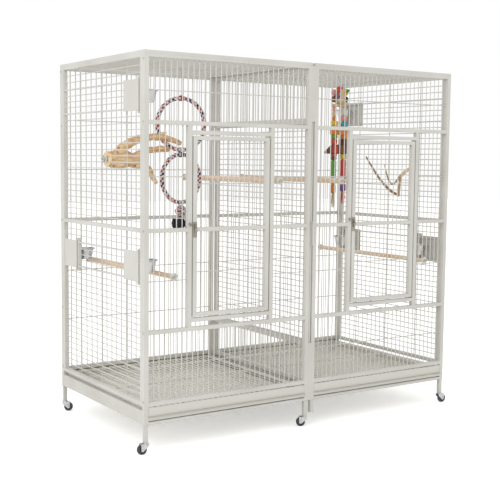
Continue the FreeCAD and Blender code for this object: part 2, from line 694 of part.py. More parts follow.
def drawers():
    """A sheet tray and, above it, a floor grate, which both pull out at the front."""
    left = "(post + drawer_gap)"
    width = f"({INNER} - 2 * drawer_gap)"
    length = "(depth - sheet - drawer_gap)"
    tray_level = "(base_bottom + sill + tray_rise)"
    pan = cut("tray_pan", box("tray_blank", left, FRONT, tray_level, width, length, "tray_height"),
              box("tray_inside", f"{left} + sheet", f"{FRONT} + sheet", f"{tray_level} + sheet",
                  f"{width} - 2 * sheet", f"{length} - 2 * sheet", "tray_height"))
    lip = box("tray_lip_bar", left, f"{FRONT} - tray_lip", f"{tray_level} + tray_height - sheet", width,
              "tray_lip", "sheet")
    level = "(floor_height - grate_drop - grate_bar)"
    back = f"({FRONT} + {length} - grate_bar)"
    wire_level = "(floor_height - grate_drop + wire / 2 + weld_gap)"
    gaps = f"round(({width} - 2 * grate_bar) / wire_pitch)"
    inner = f"({width} - 2 * grate_bar)"
    grate = [
        box("grate_front_plate", left, FRONT, f"{level} + grate_bar - grate_front + wire", width, "runner",
            "grate_front"),
        box("grate_front_bar", left, f"{FRONT} + runner", level, width, "grate_bar", "grate_bar"),
        box("grate_back_bar", left, back, level, width, "grate_bar", "grate_bar"),
    ]
    between = f"({length} - runner - 2 * grate_bar)"
    for side, x in (("left", left), ("right", f"{left} + {width} - grate_bar")):
        grate.append(box(f"grate_{side}_bar", x, f"{FRONT} + runner + grate_bar", level, "grate_bar",
                         between, "grate_bar"))
    grate.append(box("grate_mid_bar", f"{left} + grate_bar", f"{FRONT} + runner + grate_bar + {between} / 2",
                     level, inner, "grate_bar", "grate_bar"))
    grate.append(wires("grate_wires", f"{left} + grate_bar", f"{FRONT} + runner", wire_level, "y", "x",
                       f"{length} - runner", f"({inner} / {gaps})", f"({gaps} - 1)"))
    grip = box("grate_lip_bar", left, f"{FRONT} - tray_lip", f"{level} + grate_bar - grate_front + wire",
               width, "tray_lip", "sheet")
    for side, edge in MODULES.items():
        weld(f"tray_{side}", [pan, lip], edge)
        weld(f"floor_grate_{side}", grate + [grip], edge)


def feeders():
    """A plate that swings on a rod and carries a wire cup with a loose bowl."""
    height = "(feeder_height + 2 * plate_lap)"
    width = "(feeder_width + hinge_rod + plate_lap)"
    sheet_face = "(knuckle / 2 - plate)"
    shell = fuse("feeder_plate_rolled", [
        box("feeder_plate_sheet", sheet_face, "0", f"-{height} / 2", "plate", width, height),
        rod("feeder_knuckle", "0", "0", f"-{height} / 2", height, "knuckle"),
    ])
    bore = rod("feeder_bore", "0", "0", f"-{height}", f"2 * {height}", "hinge_rod + 2 * running_fit")
    plate = cut("feeder_plate", shell, bore)
    arm = "(cup_inset - arm_end - knuckle / 2)"
    cup = fuse("feeder_cup", [
        ring("cup_ring", "cup_inset", "cup_offset", "cup_rise", "cup_radius", "cup_wire"),
        rod("cup_arm_near", "knuckle / 2", "cup_offset - arm_spread", "cup_rise", arm, "cup_wire", "x"),
        rod("cup_arm_far", "knuckle / 2", "cup_offset + arm_spread", "cup_rise", arm, "cup_wire", "x"),
    ])
    seat = "weld_gap"
    bowl = turned("bowl_shell", [
        ("0", f"{seat} - bowl_depth"),
        ("bowl_foot", f"{seat} - bowl_depth"),
        ("bowl_mouth", seat),
        ("bowl_rim", seat),
        ("bowl_rim", f"{seat} + bowl_wall"),
        ("bowl_mouth - bowl_wall", f"{seat} + bowl_wall"),
        ("bowl_foot - bowl_wall", f"{seat} - bowl_depth + bowl_wall"),
        ("0", f"{seat} - bowl_depth + bowl_wall"),
    ])
    put(bowl, "cup_inset", "cup_offset", "cup_rise + cup_wire / 2")
    out = f"({SIDE} + {FEEDER_AXIS})"
    near = f"({FRONT} + 2 * post + hinge_strip - hinge_rod)"
    far = f"({BACK} - 2 * post - hinge_strip - feeder_width - hinge_rod)"
    places = (
        ("left_upper", out, near, FEEDER_HIGH, 0),
        ("left_front", out, near, FEEDER_LOW, 0),
        ("left_back", out, far, FEEDER_LOW, 0),
        ("right_upper", f"-{out}", f"-{near}", FEEDER_HIGH, 180),
        ("right_front", f"-{out}", f"-{far}", FEEDER_LOW, 180),
        ("right_back", f"-{out}", f"-{near}", FEEDER_LOW, 180),
    )
    for name, x, y, z, turn in places:
        weld(f"feeder_{name}", [plate, cup], x, y, z, turn)
        weld(f"bowl_{name}", [bowl], x, y, z, turn)


def casters():
    """Swivelling forks on the corner legs and on the left cage's inner legs."""
    bridge_low = "(wheel_diameter + fork_gap)"
    bridge_high = f"({bridge_low} + fork_plate)"
    gap = "(wheel_width / 2 + fork_gap)"
    race_low = f"({bridge_high} + clearance)"
    head_high = f"({bridge_low} - clearance)"
    mount = turned("caster_mount", [
        ("0", f"{head_high} - fork_plate"),
        ("kingpin_head / 2", f"{head_high} - fork_plate"),
        ("kingpin_head / 2", head_high),
        ("kingpin / 2", head_high),
        ("kingpin / 2", race_low),
        ("raceway / 2", race_low),
        ("raceway / 2", "caster_height"),
        ("0", "caster_height"),
    ])
    back_edge = "(-raceway / 2)"
    front_edge = "(caster_trail + wheel_hub)"
    bridge = cut("fork_bridge", box("fork_bridge_plate", back_edge, f"-{gap} - fork_wall", bridge_low,
                                    f"{front_edge} - {back_edge}", f"2 * ({gap} + fork_wall)", "fork_plate"),
                 rod("fork_bore", "0", "0", f"{bridge_low} - 1", "fork_plate + 2",
                     "kingpin + 2 * running_fit"))
    fork = [bridge]
    cheek = pressed("fork_cheek", [
        (back_edge, bridge_low),
        (back_edge, f"{bridge_low} - wheel_hub"),
        ("caster_trail - wheel_hub", "wheel_diameter / 2 - wheel_hub / 2"),
        ("caster_trail - wheel_hub / 2", "wheel_diameter / 2 - wheel_hub"),
        ("caster_trail + wheel_hub / 2", "wheel_diameter / 2 - wheel_hub"),
        (front_edge, "wheel_diameter / 2 - wheel_hub / 2"),
        (front_edge, bridge_low),
    ], "fork_wall")
    near = doc.addObject("Part::Compound", "fork_cheek_near")
    near.Links = [cheek]
    put(near, "0", f"-{gap}", "0")
    far = doc.addObject("Part::Compound", "fork_cheek_far")
    far.Links = [cheek]
    put(far, "0", f"{gap} + fork_wall", "0")
    fork += [near, far, rod("caster_axle", "caster_trail", f"-{gap}", "wheel_diameter / 2", f"2 * {gap}",
                            "axle", "y")]
    for name, y in (("near", f"-{gap} - fork_wall * 2"), ("far", f"{gap} + fork_wall")):
        fork.append(rod(f"axle_head_{name}", "caster_trail", y, "wheel_diameter / 2", "fork_wall",
                        "axle + 2 * fork_wall", "y"))
    rim = "(wheel_diameter / 2)"
    half = "(wheel_width / 2)"
    bore = "(axle / 2 + running_fit)"
    wheel = turned("caster_wheel", [
        (bore, f"-{half} - fork_gap / 2"),
        ("wheel_hub", f"-{half} - fork_gap / 2"),
        ("wheel_hub + fork_gap", "-web"),
        ("web_outside", "-web"),
        ("tread_inside", f"-{half}"),
        ("tread_edge", f"-{half}"),
        (rim, "-tread_flat"),
        (rim, "tread_flat"),
        ("tread_edge", half),
        ("tread_inside", half),
        ("web_outside", "web"),
        ("wheel_hub + fork_gap", "web"),
        ("wheel_hub", f"{half} + fork_gap / 2"),
        (bore, f"{half} + fork_gap / 2"),
    ])
    put(wheel, "caster_trail", "0", "wheel_diameter / 2", TURNS["y"])
    outer = "(module_width + slot / 2 - post / 2)"
    middle = "(-slot / 2 - post / 2)"
    front, back = f"({FRONT} + post / 2)", f"({BACK} - post / 2)"
    places = (
        ("front_left", f"-{outer}", front, 180),
        ("front_middle", middle, front, 150),
        ("front_right", outer, front, 0),
        ("back_left", f"-{outer}", back, -30),
        ("back_middle", middle, back, -60),
        ("back_right", outer, back, -120),
    )
    mounts = []
    for name, x, y, turn in places:
        fixed = doc.addObject("Part::Compound", f"mount_{name}")
        fixed.Links = [mount]
        mounts.append(put(fixed, x, y, "0"))
        weld(f"caster_fork_{name}", fork, x, y, "0", turn)
        weld(f"caster_wheel_{name}", [wheel], x, y, "0", turn)
    weld("caster_mounts", mounts)


def perches():
    """Dowels from the front to the back panel, each held by a bolt between two wires."""
    end = "(post / 2 + wire / 2 + clearance)"
    length = f"(depth - 2 * {end})"
    outside = "(post / 2 - wire / 2 - weld_gap)"
    fasteners = []
    high = f"({STEP} * ({STRIP_COUNT} - 0.5) + post + slot / 2)"
    past_bowls = f"({FEEDER_AXIS} + cup_inset + bowl_rim + perch_thin / 2 - post)"
    low = f"(module_width + slot / 2 - post - {STEP} * (ceil({past_bowls} / {STEP} + 0.5) - 0.5))"
    level_high = f"({CROSS_HIGH} - wire / 2 - perch_high - perch_thick / 2)"
    level_low = f"({CROSS_LOW} + wire / 2 + perch_low + perch_thin / 2)"
    places = (
        ("upper_left", f"-{high}", level_high, "perch_thick"),
        ("upper_right", high, level_high, "perch_thick"),
        ("lower_left", f"-{low}", level_low, "perch_thin"),
        ("lower_right", low, level_low, "perch_thin"),
    )
    for name, x, z, thickness in places:
        dowel = rod(f"dowel_{name}", x, f"{FRONT} + {end}", z, length, thickness, "y")
        weld(f"perch_{name}", [dowel])
        for face, y, bolt, nut in (
            ("front", f"{FRONT} + {outside} - washer", f"{FRONT} + {outside}",
             f"{FRONT} + {outside} - washer - wing_nut"),
            ("back", f"{BACK} - {outside}", f"{BACK} - {end}", f"{BACK} - {outside} + washer"),
        ):
            fasteners += [
                rod(f"perch_washer_{name}_{face}", x, y, z, "washer", "perch_washer", "y"),
                rod(f"perch_bolt_{name}_{face}", x, bolt, z, f"{end} - {outside}", "perch_bolt", "y"),
                rod(f"perch_nut_{name}_{face}", x, nut, z, "wing_nut", "2 * perch_bolt", "y"),
            ]
    return fasteners


def limb(name, seat, reach, points):
    """A tapering limb through points from its seat, each with its radius, in hundredths of a reach."""
    spots = [Vector(*point[:3]) for point in points]
    sections = []
    for index, point in enumerate(points):
        ahead = spots[min(index + 1, len(spots) - 1)] - spots[max(index - 1, 0)]
        section = doc.addObject("Part::Circle", f"{name}_section_{index}")
        bind(section, Radius=f"{reach} * {point[3]} / 100")
        place = [f"{start} + {reach} * {offset} / 100" for start, offset in zip(seat, point)]
        sections.append(put(section, *place, Rotation(Vector(0, 0, 1), ahead)))
    piece = doc.addObject("Part::Loft", name)
    piece.Sections = sections
    piece.Solid = True
    return piece


def branches():
    """Two natural perches, each bolted to a side panel between two of its level wires."""
    band = f"({FEEDER_HIGH} - feeder_height / 2 - feeder_bar)"
    zone_low = "(mid_rail_height + rail / 2)"
    step = f"(({band} - {zone_low}) / round(({band} - {zone_low}) / wire_pitch))"
    seat = f"({SIDE} + post / 2 + wire / 2 + clearance)"
    outside = f"({SIDE} + post / 2 - wire / 2 - weld_gap)"
    branch = (seat, "branch_place", f"({zone_low} + {step} * 10.5)")
    twig = (f"-{seat}", "twig_place", f"({zone_low} + {step} * 9.5)")
    weld("branch_perch", [fuse("branch_limbs", [
        limb("branch_low", branch, "branch_reach", [
            (0, 0, 0, 9.6), (17, 0, 0, 9.2), (37, -2, -3, 8), (53, -4, -12, 5.4), (64, -6, -30, 2.8)]),
        limb("branch_high", branch, "branch_reach", [
            (10, 0, 3.4, 5.4), (23, 0, 14.4, 6), (48.6, -1.4, 25.8, 5), (75.8, -2.8, 26.8, 4.2),
            (100, -2.8, 20, 3.2)]),
        limb("branch_stub", branch, "branch_reach", [
            (28.6, 0, 1.4, 4), (54.2, 0, 10.8, 3.8), (84.4, 0, 12.6, 3)]),
    ])])
    weld("twig_perch", [fuse("twig_limbs", [
        limb("twig_arm", twig, "twig_reach", [
            (0, 0, 0, 2.8), (-6, 0, 0, 2.8), (-18, 0, -6, 2.7), (-32, 0, -16.4, 2.5)]),
        limb("twig_drop", twig, "twig_reach", [
            (-30, 0, -13.2, 2), (-31.6, 0, -30, 1.9), (-33.4, 0, -44.8, 1.9)]),
        limb("twig_shoot", twig, "twig_reach", [
            (-31, 0.6, -15, 1.9), (-43.5, 1.6, -27, 1.5), (-52, 1.9, -20, 1.3), (-61, 1.9, 3.8, 0.9)]),
        limb("twig_rise", twig, "twig_reach", [
            (-30, 0, -41, 1.8), (-50.4, 0, -36.2, 2), (-75.6, 0, -14.2, 1.8), (-100, 0, 15.8, 1.2)]),
    ])])
    fasteners = []
    for name, x, bolt, nut, spot in (
        ("branch", f"{outside} - washer", outside, f"{outside} - washer - wing_nut", branch),
        ("twig", f"-{outside}", f"-{seat}", f"-{outside} + washer", twig),
    ):
        fasteners += [
            rod(f"{name}_washer", x, spot[1], spot[2], "washer", "perch_washer", "x"),
            rod(f"{name}_bolt", bolt, spot[1], spot[2], f"{seat} - {outside}", "perch_bolt", "x"),
            rod(f"{name}_nut", nut, spot[1], spot[2], "wing_nut", "2 * perch_bolt", "x"),
        ]
    return fasteners


def hanger(name, x, wire_share, end):
    """A link round one of the roof's wires and a straight wire down to the toy."""
    run = "(depth - 2 * post)"
    gaps = f"round({run} / wire_pitch)"
    place = f"({FRONT} + post + {run} / {gaps} * floor({gaps} * {wire_share}))"
    middle = f"({TOP} + roof_rail / 2 + wire / 2 + clearance - link_radius + link_wire / 2)"
    low = f"({middle} - link_radius - link_wire / 2)"
    return place, [
        ring(f"{name}_link", x, place, middle, "link_radius", "link_wire", TURNS["x"]),
        rod(f"{name}_wire", x, place, end, f"{low} - {end}", "hanger"),
    ]


def rope_toy():
    """Two rope rings, one below the other, with a knot and four tassels."""
    top = "(total_height - rope_top)"
    y, pieces = hanger("rope_hanger", "rope_place", "2 / 3", top)
    upper = f"({top} - upper_ring - rope / 2)"
    lower = f"({upper} - upper_ring - rope - lower_ring - clearance)"
    knot_top = f"({lower} - lower_ring - rope / 2 - clearance)"
    knot = doc.addObject("Part::Sphere", "rope_knot")
    bind(knot, Radius="knot / 2")
    collar = f"({knot_top} - knot - clearance - collar_height)"
    facing = [Rotation(Vector(0, 0, 1), turn) * TURNS["y"] for turn in (-6, 9)]
    pieces += [
        ring("rope_ring_upper", "rope_place", y, upper, "upper_ring", "rope", facing[0]),
        ring("rope_ring_lower", "rope_place", y, lower, "lower_ring", "rope", facing[1]),
        put(knot, "rope_place", y, f"{knot_top} - knot / 2"),
        rod("rope_collar", "rope_place", y, collar, "collar_height", "collar"),
    ]
    for number, (side, end) in enumerate(((-1, -1), (1, -1), (-1, 1), (1, 1)), start=1):
        pieces.append(rod(f"rope_tassel_{number}", f"rope_place + {side} * tassel_spread",
                          f"{y} + {end} * tassel_spread", f"{collar} - tassel_length", "tassel_length",
                          "tassel"))
    weld("rope_ring_toy", pieces)


def block_toy():
    """A head and, below it, two columns of blocks and beads strung through crossbars."""
    level = "(total_height - toy_top)"
    y, pieces = hanger("toy_hanger", "toy_place", "1 / 2", level)

    def units(number):
        return f"toy_unit * {number}"

    def bead(name, x, z, width, height):
        return rod(name, x, y, z, units(height), units(width))

    def bar(name, z, start, width, thickness, height):
        """A piece that both columns are strung through. start is its left end."""
        return box(name, f"toy_place + {units(start)}", f"{y} - {units(thickness)} / 2", z, units(width),
                   units(thickness), units(height))

    level = f"({level} - {units(1.4)})"
    pieces.append(bead("toy_cap", "toy_place", level, 3, 1.4))
    level = f"({level} - {units(7)})"
    ears = [rod(f"toy_ear_{side}", f"toy_place + {units(start)}", y, f"{level} + {units(4)}", units(2.2),
                units(3.6), "x") for side, start in (("left", -4.7), ("right", 2.5))]
    pieces.append(fuse("toy_head", [bead("toy_drum", "toy_place", level, 5.6, 7)] + ears))
    tiers = (
        ((-4.2, 8.4, 2, 1.4), ((1.8, 6.8), (3.6, 4.4)), ((3.4, 4), (2, 3.2), (3.6, 4))),
        ((-5, 10, 2.2, 2.4), ((3.6, 4.6),), ((4, 4.6),)),
        ((-8.5, 13, 3, 4.6), ((3.4, 3), (3.4, 11.8), (2.4, 4.4), (2.4, 7.4)),
         ((3, 2.6), (2.8, 11.8), (2.8, 4), (2.6, 6.4))),
    )
    for tier, (crossbar, *columns) in enumerate(tiers, start=1):
        level = f"({level} - {units(crossbar[3])})"
        pieces.append(bar(f"toy_bar_{tier}", level, *crossbar))
        for side, hand, items in zip(("left", "right"), (-1, 1), columns):
            top = level
            x = f"(toy_place + {hand} * toy_column)"
            for number, (width, height) in enumerate(items, start=1):
                top = f"({top} - {units(height)})"
                name = f"toy_{side}_{tier}_{number}"
                if number % 2:
                    pieces.append(bead(name, x, top, width, height))
                else:
                    pieces.append(box(name, f"{x} - {units(width)} / 2", f"{y} - {units(width)} / 2", top,
                                      units(width), units(width), units(height)))
        level = top
    weld("block_toy", pieces)


def panel_bolts():
    """Dome heads where the panels are bolted at the corners and under the roof."""
    heads = []
    levels = ("floor_height + post", "lower_rail_height", "mid_rail_height", "upper_rail_height",
              f"{TOP} - post")
    for side, x in (("left", f"{SIDE} - bolt_head_height"), ("right", f"-{SIDE}")):
        for end, y in (("front", f"{FRONT} + post / 2"), ("back", f"{BACK} - post / 2")):
            for number, z in enumerate(levels, start=1):
                heads.append(rod(f"bolt_{side}_{end}_{number}", x, y, z, "bolt_head_height", "bolt_head",
                                 "x"))
    weld("panel_bolts", heads)


def check_and_write():
    doc.recompute()
    for item in doc.Objects:
        if "Invalid" in item.State or "Error" in item.State:
            raise RuntimeError(f"{item.Label} did not build: {item.State}")
    os.makedirs("parts", exist_ok=True)
    for part in SUB_PARTS:
        if part.Shape.isNull() or not part.Shape.isValid():
            raise RuntimeError(f"{part.Label} has no sound shape")
        part.Shape.exportStep(f"parts/{part.Label}.step")
    print(len(SUB_PARTS), "sub-parts", sum(len(part.Shape.Solids) for part in SUB_PARTS), "solids")


front_panels()
doors()
latches()
back_panels()
side_panels()
roofs()
dividers()
bases()
drawers()
feeders()
casters()
weld("perch_fasteners", perches() + branches())
rope_toy()
block_toy()
panel_bolts()
check_and_write()
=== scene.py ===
"""The looks of a double parrot cage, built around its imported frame.

Metres. X runs along the front, Y from the front to the back, Z up, with the origin on the floor.
"""

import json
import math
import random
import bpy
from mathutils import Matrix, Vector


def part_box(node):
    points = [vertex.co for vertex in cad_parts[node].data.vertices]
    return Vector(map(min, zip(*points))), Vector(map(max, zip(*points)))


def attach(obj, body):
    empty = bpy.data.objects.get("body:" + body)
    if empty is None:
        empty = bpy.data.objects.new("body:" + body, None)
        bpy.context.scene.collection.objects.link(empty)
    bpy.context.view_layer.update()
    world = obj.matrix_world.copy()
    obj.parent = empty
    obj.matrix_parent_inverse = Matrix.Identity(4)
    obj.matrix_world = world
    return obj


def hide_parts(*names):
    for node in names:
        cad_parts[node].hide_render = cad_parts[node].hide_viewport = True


bl_info = {
    "name": "Double parrot cage",
    "version": (1, 0, 0),
    "blender": (4, 5, 0),
    "location": "View3D > Sidebar > Cage",
    "description": "Finishes the frame of a double parrot cage and models its toys, branches and fasteners",
    "category": "Add Mesh",
}

import bpy
from bpy.props import FloatProperty, FloatVectorProperty, IntProperty, PointerProperty
from bpy.types import Operator, Panel, PropertyGroup
from mathutils import Matrix, Vector

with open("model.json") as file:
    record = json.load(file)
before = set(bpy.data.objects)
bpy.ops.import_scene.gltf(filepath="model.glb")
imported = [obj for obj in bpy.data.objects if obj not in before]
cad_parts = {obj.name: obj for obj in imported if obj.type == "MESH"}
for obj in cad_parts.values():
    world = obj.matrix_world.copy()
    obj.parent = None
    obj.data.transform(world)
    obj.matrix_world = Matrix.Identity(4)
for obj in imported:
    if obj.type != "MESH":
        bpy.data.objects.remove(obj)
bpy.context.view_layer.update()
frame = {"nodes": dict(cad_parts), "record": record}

MM = 0.001
X_AXIS = Vector((1, 0, 0))
Y_AXIS = Vector((0, 1, 0))
Z_AXIS = Vector((0, 0, 1))
NOISE_SPAN = (0.3, 0.7)  # most values of a noise lie between these
FACING = 0.9  # share of a face's normal, from which it looks a given way

# where the branch and the twig are bolted to the side panels
BRANCH_SEAT = Vector((-0.8012, -0.045, 1.16308))
TWIG_SEAT = Vector((0.8012, -0.19, 1.13736))

LINK_MIDDLE = 1.5678  # height of the toys' hooks, which go round roof wires
LINK = 10 * MM  # radius of a hook
LINK_WIRE = 2 * MM  # radius of its wire
SHANK_TOP = LINK_MIDDLE - 11 * MM  # in the hook's lower bend
SHANK = 1.5 * MM  # radius of the shank below the hook
SHANK_WRAP = 2.6 * MM  # radius of the wire that is wound round the shank
SHANK_WRAP_DROP = 6 * MM  # middle of that winding, below the shank's top
WOUND_WIRE = 2 * MM  # thickness of the wound wire
WOUND_TURNS = 4

STRAND_SIDES = 7
STRAND_STEPS = 10  # straight pieces in each turn of a strand
GOLDEN_ANGLE = 2.4  # in radians, spreads the yarns of a tuft evenly
YARN_ROOTS = 0.55  # spread of the yarns' upper ends, of that of their tips
YARN_TIP = 0.7  # width of a yarn's lower end, of its upper end
YARN_RAGGED = 0.08  # most that chance takes off a yarn's length
YARN_ROUNDED = 0.45  # what the outermost yarns are shorter


def linear(code):
    """An sRGB hex colour as linear red, green and blue."""
    shares = [int(code[start:start + 2], 16) / 255 for start in (0, 2, 4)]
    return tuple(s / 12.92 if s <= 0.04045 else ((s + 0.055) / 1.055) ** 2.4 for s in shares)


def colour(label, words, code):
    """A setting for a colour."""
    return FloatVectorProperty(name=label, description=words, subtype="COLOR", default=linear(code),
                               min=0, max=1)


def length(label, words, millimetres):
    """A setting for a length."""
    return FloatProperty(name=label, description=words, unit="LENGTH", default=millimetres * MM, min=0)


class CageColours(PropertyGroup):
    coat: colour("Coat", "Powder coat of the tubes, wires and plates", "D0CFC9")
    coat_shade: colour("Coat shade", "Where the coat lies thinner", "C6C4BD")
    # the tray colour is partly the sheets' own coat and partly painted light: it is paler than the frame's
    # coat to lift the shade that the grates cast in the trays
    tray: colour("Tray", "Coat of the trays and floor grates", "EBE9E2")
    tray_shade: colour("Tray shade", "Scuffed coat of the trays", "DFDCD4")
    # painted shade: the darker tone given to the drawers' fronts
    tray_front_painted_shade: colour("Tray front", "Coat of the drawers' fronts, dulled by hands", "D0CEC6")
    pine: colour("Pine", "Dowel perches", "F5DFC9")
    pine_grain: colour("Pine grain", "Late wood of the dowels", "E0C5AC")
    branch: colour("Branch", "Sanded hard wood of the branch perch", "F0D4AC")
    branch_grain: colour("Branch grain", "Darker streaks of the branch perch", "BD946B")
    branch_knot: colour("Branch knots", "Dark knots and hollows of the branch perch", "7A5637")
    twig: colour("Twig", "Bark of the twig perch", "B59A80")
    twig_grain: colour("Twig grain", "Dark creases in the bark", "86694F")
    rope_white: colour("White strand", "Undyed cotton strands", "F1EEEA")
    rope_red: colour("Red strand", "Red cotton strand", "C4514A")
    rope_navy: colour("Navy strand", "Navy cotton strand", "333F6C")
    tassel: colour("Tassel", "Dark yarn of the tassels", "34363F")
    wheel: colour("Wheel", "Moulded caster wheels", "2E2F32")
    latch: colour("Latch", "Aged zinc of the door latches", "A59D90")
    nut: colour("Wing nuts", "Dull zinc of the bolts and wing nuts", "CFCBC3")


class CageSizes(PropertyGroup):
    rope: length("Rope", "Thickness of the toy's rope", 20)
    rope_lay: length("Rope lay", "Length of one turn of the strands", 42)
    strands: IntProperty(name="Strands", description="Strands that turn each way round", default=4, min=3,
                         max=6)
    coat_peel: length("Orange peel", "Ripple of the powder coat, drawn coarser than the real 1 mm", 5)
    pine_ring: length("Pine grain", "Width of a streak in the dowels", 4)
    branch_streak: length("Branch grain", "Width of a streak in the branch", 7)


class StageSettings(PropertyGroup):
    lens: FloatProperty(name="Lens", description="Focal length in millimetres", default=70.53, min=1)
    eye: FloatVectorProperty(name="Camera", description="Place of the camera", subtype="TRANSLATION",
                             unit="LENGTH", default=(-2.5819, -3.7713, 1.1649))
    yaw: FloatProperty(name="Yaw", description="Turn of the view from +Y towards +X", unit="ROTATION",
                       default=math.radians(33.9))
    pitch: FloatProperty(name="Pitch", description="Tilt of the view downwards", unit="ROTATION",
                         default=math.radians(5.251))
    roll: FloatProperty(name="Roll", description="Turn of the picture", unit="ROTATION",
                        default=math.radians(0.63))
    key: FloatProperty(name="Key light", description="Watts of the large lamp at the left",
                       default=88, min=0)
    fill: FloatProperty(name="Fill light", description="Watts of the lamp at the front right", default=16,
                        min=0)
    sky: FloatProperty(name="Sky", description="Strength of the even light from all round", default=0.88,
                       min=0)


def settings(kind):
    """One of the groups of settings that the sidebar shows."""
    return getattr(bpy.context.scene, kind)


def add(tree, kind, inputs=None, **values):
    """One node with its settings. inputs gives each socket a number or another node's output."""
    item = tree.nodes.new(kind)
    for name, value in values.items():
        setattr(item, name, value)
    for socket, source in (inputs or {}).items():
        if isinstance(source, bpy.types.NodeSocket):
            tree.links.new(source, item.inputs[socket])
        else:
            item.inputs[socket].default_value = source
    return item


def new_material(name, **sockets):
    """A material, its nodes and its shader, with values for sockets such as specular_ior_level."""
    material = bpy.data.materials.new(name)
    material.use_nodes = True
    shader = material.node_tree.nodes["Principled BSDF"]
    for socket, value in sockets.items():
        shader.inputs[socket.replace("_", " ").title().replace("Ior", "IOR")].default_value = value
    return material, material.node_tree, shader


def opaque(shade):
    """A colour with full alpha."""
    return (*shade, 1)


def darker(shade, share):
    """A colour with a share of its light."""
    return [part * share for part in shade]


def even(size):
    """The same size along X, Y and Z."""
    return (size, size, size)


def streaks(tree, sizes, detail=3, turn=(0, 0, 0)):
    """Noise in the object's own space, whose blots are as long as sizes along X, Y and Z."""
    place = add(tree, "ShaderNodeTexCoord").outputs["Object"]
    fitted = add(tree, "ShaderNodeMapping", {"Vector": place, "Scale": [1 / size for size in sizes],
                                             "Rotation": turn})
    noise = add(tree, "ShaderNodeTexNoise", {"Vector": fitted.outputs["Vector"], "Scale": 1,
                                             "Detail": detail, "Roughness": 0.55})
    return noise.outputs["Fac"]


def blend(tree, pattern, first, second, span=NOISE_SPAN, shares=(0, 1)):
    """A colour that goes from first to second over a span of a pattern.

    shares says how much of second is mixed in at the two ends of the span.
    """
    mix = add(tree, "ShaderNodeMapRange", {"Value": pattern, "From Min": span[0], "From Max": span[1],
                                           "To Min": shares[0], "To Max": shares[1]})
    sockets = {"Fac": mix.outputs["Result"]}
    for name, shade in (("Color1", first), ("Color2", second)):
        sockets[name] = shade if isinstance(shade, bpy.types.NodeSocket) else opaque(shade)
    return add(tree, "ShaderNodeMixRGB", sockets).outputs["Color"]


def retint(tree, pattern, shade, span, shares):
    """Blends a shade over the colour that a material already has."""
    socket = tree.nodes["Principled BSDF"].inputs["Base Color"]
    tree.links.new(blend(tree, pattern, socket.links[0].from_socket, shade, span, shares), socket)


def vary_gloss(tree, shader, pattern, low, high):
    """Lets a pattern move the surface's roughness between two values."""
    start, end = NOISE_SPAN
    rough = add(tree, "ShaderNodeMapRange", {"Value": pattern, "From Min": start, "From Max": end,
                                             "To Min": low, "To Max": high})
    tree.links.new(rough.outputs["Result"], shader.inputs["Roughness"])


def roughen(tree, shader, height, strength, depth, rounded=0):
    """Bump from a height. rounded softens the edges of folded or square pieces by that radius."""
    sockets = {"Height": height, "Strength": strength, "Distance": depth}
    if rounded:
        sockets["Normal"] = add(tree, "ShaderNodeBevel", {"Radius": rounded}, samples=4).outputs["Normal"]
    bump = add(tree, "ShaderNodeBump", sockets)
    tree.links.new(bump.outputs["Normal"], shader.inputs["Normal"])


def powder_coat(name, light, dark):
    """Epoxy powder baked on steel: an even satin skin with a faint orange peel and soft edges."""
    material, tree, shader = new_material(name)
    clouds = streaks(tree, even(220 * MM), detail=2)
    tree.links.new(blend(tree, clouds, light, dark), shader.inputs["Base Color"])
    vary_gloss(tree, shader, clouds, 0.36, 0.5)
    peel = streaks(tree, even(settings("cage_sizes").coat_peel), detail=1)
    roughen(tree, shader, peel, strength=0.12, depth=0.4 * MM, rounded=1.5 * MM)
    return material


def zinc(name, shade, gloss):
    """Zinc plate on pressed steel: a grey metal, a little cloudy."""
    material, tree, shader = new_material(name, metallic=1)
    clouds = streaks(tree, even(12 * MM))
    tree.links.new(blend(tree, clouds, shade, darker(shade, 0.68)), shader.inputs["Base Color"])
    vary_gloss(tree, shader, clouds, gloss, gloss + 0.16)
    crystals = streaks(tree, even(1.5 * MM))
    roughen(tree, shader, crystals, strength=0.08, depth=0.1 * MM, rounded=0.5 * MM)
    return material


def bright_zinc():
    """The zinc of new casters, hooks and bolts, which mirrors the room softly."""
    return zinc("bright_zinc_plate", linear("C9CACB"), 0.2)


def spun_stainless():
    """Stainless sheet spun into bowls: level lines round the wall, drawn at 1 mm to show."""
    material, tree, shader = new_material("spun_stainless_steel", metallic=1)
    lines = streaks(tree, (60 * MM, 60 * MM, 1 * MM))
    tint = blend(tree, lines, linear("D4D5D6"), linear("B4B6B8"), span=(0, 1))
    tree.links.new(tint, shader.inputs["Base Color"])
    vary_gloss(tree, shader, lines, 0.24, 0.38)
    roughen(tree, shader, lines, strength=0.15, depth=0.1 * MM)
    return material


def moulded_wheel():
    """Dark polypropylene: a smooth moulded skin that scuffs on the tread."""
    material, tree, shader = new_material("moulded_polypropylene")
    scuffs = streaks(tree, (6 * MM, 6 * MM, 3 * MM), detail=4)
    worn = blend(tree, scuffs, settings("cage_colours").wheel, linear("6A6A6B"), (0.45, 0.7), (0, 0.5))
    tree.links.new(worn, shader.inputs["Base Color"])
    vary_gloss(tree, shader, scuffs, 0.35, 0.6)
    roughen(tree, shader, scuffs, strength=0.2, depth=0.2 * MM)
    return material


def sawn_wood(name, light, dark, sizes, gloss=0.55, turn=(0, 0, 0)):
    """Bare or dyed wood: streaks of late wood along the grain, and finer pores in them."""
    material, tree, shader = new_material(name, specular_ior_level=0.2)
    grain = streaks(tree, sizes, detail=4, turn=turn)
    pores = streaks(tree, [size * 0.3 for size in sizes], detail=2, turn=turn)
    tint = blend(tree, grain, light, dark, (0.32, 0.68))
    pored = blend(tree, pores, tint, darker(dark, 0.6), (0.5, 0.75), (0, 0.35))
    tree.links.new(pored, shader.inputs["Base Color"])
    vary_gloss(tree, shader, pores, gloss - 0.08, gloss + 0.1)
    roughen(tree, shader, grain, strength=0.25, depth=0.6 * MM)
    return material


